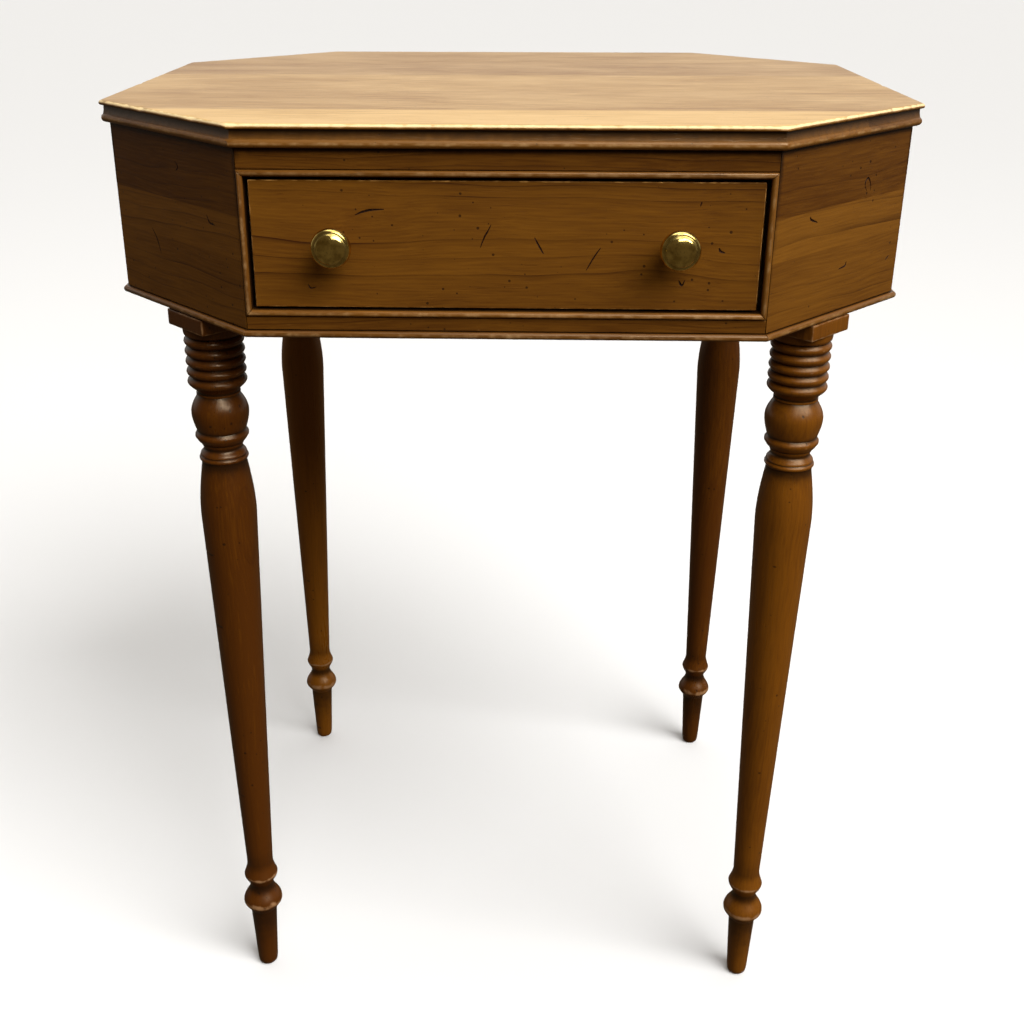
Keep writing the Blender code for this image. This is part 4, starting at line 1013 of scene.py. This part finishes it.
# Drawer front: one flat board with half-blind sockets for the sides' dovetails and a groove for the
# bottom. Its arrises are rubbed through to pale wood, and dashes, ticks and hooks are scored in it.
FRONT_EASE = 0.0005
FRONT_REACH = 0.0010
FRONT_RING = 0.0135
FRONT_SHINE = 0.38
FRONT_SEED = 110
DRAWER_MARKS = (
    (0.0014, ((-0.0852, 0.0171), (-0.0808, 0.0190), (-0.0758, 0.0201), (-0.0686, 0.0204))),
    (0.0010, ((-0.0081, 0.0122), (-0.0106, 0.0074), (-0.0119, 0.0052), (-0.0143, -0.0010))),
    (0.0011, ((0.0165, 0.0049), (0.0217, -0.0043))),
    (0.0009, ((0.0542, -0.0005), (0.0508, -0.0055), (0.0463, -0.0137))),
    (0.0014, ((0.1211, -0.0002), (0.1220, -0.0021), (0.1246, -0.0030))),
    (0.0012, ((0.0994, -0.0190), (0.1003, -0.0209), (0.1015, -0.0220), (0.1029, -0.0190))),
    (0.0008, ((0.1097, 0.0258), (0.1089, 0.0232))),
    (0.0009, ((-0.1140, -0.0230), (-0.1124, -0.0253), (-0.1094, -0.0247))),
)
drawer_wood = wood_finish("drawer_front_wood", paint(126, 80, 21), paint(85, 48, 10), paint(50, 21, 5),
                          WORN_WOOD, FRONT_RING, FRONT_SHINE, wear_start=0.92, gloss=0.2, figure=1.4)
low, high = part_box("drawer_front")
middle = Vector(((low.x + high.x) / 2, low.y, (low.z + high.z) / 2))
mesh = eased_board("drawer_front", FRONT_EASE, FRONT_REACH)
mesh.materials.append(drawer_wood)
mesh = scored(mesh, DRAWER_MARKS, middle, RIGHT, FRONT)
lay_grain(mesh, RIGHT, FRONT, FRONT_SEED)
dress("drawer_front_board", mesh, drawer_wood, "drawer", "drawer_front_wood", "drawer_front")


# Drawer box: two sides dovetailed to the front, a back let into them and a thin bottom in grooves,
# all of pale wood, planed smooth and left bare.
BOX_RING = 0.0036
BOX_SHINE = 0.58
BOX_REACH = 0.0012
BOX_SEED = 120
box_wood = wood_finish("drawer_box_wood", paint(204, 168, 120), paint(168, 126, 82), paint(138, 96, 58),
                       paint(218, 188, 146), BOX_RING, BOX_SHINE, specks=0.0)
box_boards = {
    "drawer_side_left": (BACK, RIGHT),
    "drawer_side_right": (BACK, RIGHT),
    "drawer_back": (RIGHT, BACK),
    "drawer_bottom": (RIGHT, UP),
}
for number, (node, (along, depth)) in enumerate(box_boards.items()):
    mesh = eased_board(node, STRIP_EASE, BOX_REACH)
    lay_grain(mesh, along, depth, BOX_SEED + number)
    dress("planed_" + node, mesh, box_wood, "drawer", "drawer_box_wood", node)


# Knobs: turned brass mushrooms with a stepped face on a short waisted stem. The polish has gone
# olive with age, darkest in the step and under the head.
KNOB_SIDES = 72
KNOB_FLANGE = 0.0066
KNOB_FOOT = ((0.0003, 0.0, 0.0, 0.6), (0.0, -0.0003, 0.0, 0.3), (0.0, -0.0018, 0.0, 0.0),
             (0.0006, -0.0022, 0.0, 0.2), (0.0014, -0.0028, 0.0, 0.9), (0.0020, -0.0044, 0.0, 0.5))
KNOB_STEM = 0.0046
KNOB_NECK, KNOB_RIM, KNOB_REACH = 0.0092, 0.0162, 0.0222
KNOB_RADIUS = 0.0115
KNOB_FACE = 0.0090
KNOB_STEP, KNOB_GROOVE = 0.0006, 0.0007
KNOB_STEPS = 10


def brass_finish():
    """Old polished brass: golden on the rubbed places, olive and spotted with tarnish elsewhere."""
    material, tree, shader = new_finish("aged_brass")
    place = wire(tree, "ShaderNodeTexCoord").outputs["Object"]
    hollow = mesh_value(tree, "hollow")
    film = cloudy(tree, place, (230.0, 230.0, 230.0), 4.0)
    spots = cloudy(tree, place, (1300.0, 1300.0, 1300.0), 2.0)
    scratch = cloudy(tree, place, (3200.0, 260.0, 3200.0), 2.0)
    colour = tinted(tree, step(tree, film, 0.35, 0.72), paint(240, 212, 126), paint(184, 155, 80))
    spotted = calc(tree, "MULTIPLY", step(tree, spots, 0.58, 0.70), 0.45)
    colour = tinted(tree, spotted, colour, paint(76, 58, 22))
    colour = tinted(tree, calc(tree, "MULTIPLY", hollow, 0.75), colour, paint(54, 40, 16))
    rough = total(tree, 0.06, (film, 0.16), (hollow, 0.25))
    lay_on(tree, shader, colour, rough, total(tree, scratch, (spots, 0.4)), 0.12, SCRATCH_DEPTH)
    shader.inputs["Metallic"].default_value = 1.0
    return material


def knob_profile():
    """The knob from its foot, at 0, along its stem and round its head to the middle of its face."""
    points = [(0, 0, 0, 0)] + worked(KNOB_FLANGE, 0.0, KNOB_FOOT)
    for i in range(KNOB_STEPS + 1):
        turn = math.pi / 2 * i / KNOB_STEPS
        points.append((KNOB_STEM + (KNOB_RADIUS - KNOB_STEM) * math.sin(turn),
                       KNOB_NECK + (KNOB_RIM - KNOB_NECK) * (1 - math.cos(turn)), 0, 0.5 * (1 - turn / 1.6)))
    for i in range(1, 3 * KNOB_STEPS):
        radius = KNOB_RADIUS * math.cos(math.pi / 2 * i / (3 * KNOB_STEPS))
        crown = KNOB_RIM + (KNOB_REACH - KNOB_RIM) * math.sqrt(1 - (radius / KNOB_RADIUS) ** 2)
        groove = math.exp(-((radius - KNOB_FACE) / KNOB_GROOVE) ** 2)
        points.append((radius, crown - KNOB_STEP * groove, 0, 0.55 * groove))
    return points + [(0, KNOB_REACH, 0, 0)]


aged_brass = brass_finish()
knob_nodes = ["knob_left", "knob_right"]
knob_boxes = [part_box(node) for node in knob_nodes]
places = [((low.x + high.x) / 2, high.y, (low.z + high.z) / 2) for low, high in knob_boxes]
mesh = turned("brass_knobs", knob_profile(), KNOB_SIDES, places, aged_brass, (math.pi / 2, 0, 0))
dress("brass_knobs", mesh, aged_brass, "drawer", "brass", *knob_nodes)


# Knob screws: two plated steel screws with slotted pan heads, driven from inside the drawer through
# its front into the stems of the knobs.
KNOB_SLOT_TURN = 0.4
screw_nodes = ["knob_screw_left", "knob_screw_right"]
screw_boxes = [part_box(node) for node in screw_nodes]
places = [((low.x + high.x) / 2, high.y, (low.z + high.z) / 2) for low, high in screw_boxes]
length = screw_boxes[0][1].y - screw_boxes[0][0].y
mesh = screws("knob_screws", length, places, (math.pi / 2, KNOB_SLOT_TURN, 0))
dress("knob_screws", mesh, plated_steel, "drawer", "steel", *screw_nodes)


# Studio: a plain pale floor and backdrop, a broad lamp to the front right, soft ones overhead and in
# front, and a room that is bright behind.
# The camera stands where the photograph was taken from, solved from the outline of the table.
FLOOR_REACH = 30.0
FLOOR_COLOUR = (0.86, 0.855, 0.845, 1.0)
FLOOR_ROUGHNESS = 0.75
BACKDROP_GLOW, BACKDROP_COLOUR = 0.97, (1.0, 0.995, 0.985, 1.0)
BLACK = (0.0, 0.0, 0.0, 1.0)
KEY_FROM = (1.0, -0.85, 1.30)
KEY_POWER = 3.4
KEY_SPREAD = math.radians(42)
SOFT_LAMPS = {
    "overhead_lamp": ((0.1, -0.1, 2.4), (0.0, 0.0, 0.5), 1.6, 18),
    "front_lamp": ((0.35, -1.7, 1.9), (0.0, 0.0, 0.45), 0.9, 13),
}
ROOM_LIGHT = (0.088, 0.066, 0.040, 1.0)
WALL_LIGHT = (0.68, 0.67, 0.65, 1.0)
WALL_WIDTH, WALL_HEIGHT = (-0.2, 0.7), (-0.15, 0.05)
CAMERA_PLACE = (0.00884, -0.91925, 0.75841)
CAMERA_FOCUS = 1266.7
CAMERA_YAW, CAMERA_PITCH, CAMERA_ROLL = -1.605, 23.562, 0.045
PRINCIPAL_X, PRINCIPAL_Y = 485.6, 479.6
FRAME_PIXELS = 1024
SENSOR = 36.0


def stage_sheet(name, mesh):
    """A pale sheet round the object that the camera sees, and that throws no light back on the object."""
    sheet = shown(name, mesh)
    sheet.visible_diffuse = False
    sheet.visible_glossy = False
    pale, _, shader = new_finish(name)
    mesh.materials.append(pale)
    return sheet, shader.inputs


floor_mesh = bpy.data.meshes.new("floor")
floor_corners = [(x * FLOOR_REACH, y * FLOOR_REACH, 0) for x, y in ((-1, -1), (1, -1), (1, 1), (-1, 1))]
floor_mesh.from_pydata(floor_corners, [], [(0, 1, 2, 3)])
_, floor_paint = stage_sheet("floor", floor_mesh)
floor_paint["Base Color"].default_value = FLOOR_COLOUR
floor_paint["Roughness"].default_value = FLOOR_ROUGHNESS

shape = bmesh.new()
bmesh.ops.create_uvsphere(shape, u_segments=48, v_segments=24, radius=FLOOR_REACH)
backdrop, backdrop_paint = stage_sheet("backdrop", as_mesh("backdrop", shape))
backdrop.visible_shadow = False
backdrop_paint["Base Color"].default_value = BLACK
backdrop_paint["Emission Color"].default_value = BACKDROP_COLOUR
backdrop_paint["Emission Strength"].default_value = BACKDROP_GLOW

key = bpy.data.lights.new("key_lamp", "SUN")
key.energy = KEY_POWER
key.angle = KEY_SPREAD
shown("key_lamp", key).rotation_euler = (-Vector(KEY_FROM)).to_track_quat("-Z", "Y").to_euler()
for name, (place, aim, size, power) in SOFT_LAMPS.items():
    lamp = bpy.data.lights.new(name, "AREA")
    lamp.shape = "SQUARE"
    lamp.size = size
    lamp.energy = power
    holder = shown(name, lamp)
    holder.location = place
    holder.rotation_euler = (Vector(aim) - Vector(place)).to_track_quat("-Z", "Y").to_euler()
room = bpy.data.worlds.new("room")
room.use_nodes = True
tree = room.node_tree
direction = wire(tree, "ShaderNodeTexCoord").outputs["Generated"]
parts = wire(tree, "ShaderNodeSeparateXYZ", {"Vector": direction}).outputs
wall = calc(tree, "MULTIPLY", step(tree, parts["Y"], *WALL_WIDTH), step(tree, parts["Z"], *WALL_HEIGHT))
tree.links.new(tinted(tree, wall, ROOM_LIGHT, WALL_LIGHT), tree.nodes["Background"].inputs["Color"])
bpy.context.scene.world = room

camera = shown("camera", bpy.data.cameras.new("camera"))
camera.data.sensor_width = SENSOR
camera.data.lens = SENSOR * CAMERA_FOCUS / FRAME_PIXELS
camera.data.shift_x = 0.5 - PRINCIPAL_X / FRAME_PIXELS
camera.data.shift_y = PRINCIPAL_Y / FRAME_PIXELS - 0.5
stand = Matrix.Translation(CAMERA_PLACE)
for turn, axis in ((-CAMERA_YAW, "Z"), (90 - CAMERA_PITCH, "X"), (CAMERA_ROLL, "Z")):
    stand = stand @ Matrix.Rotation(math.radians(turn), 4, axis)
camera.matrix_world = stand
bpy.context.scene.camera = camera
bpy.context.scene.view_settings.view_transform = "Standard"
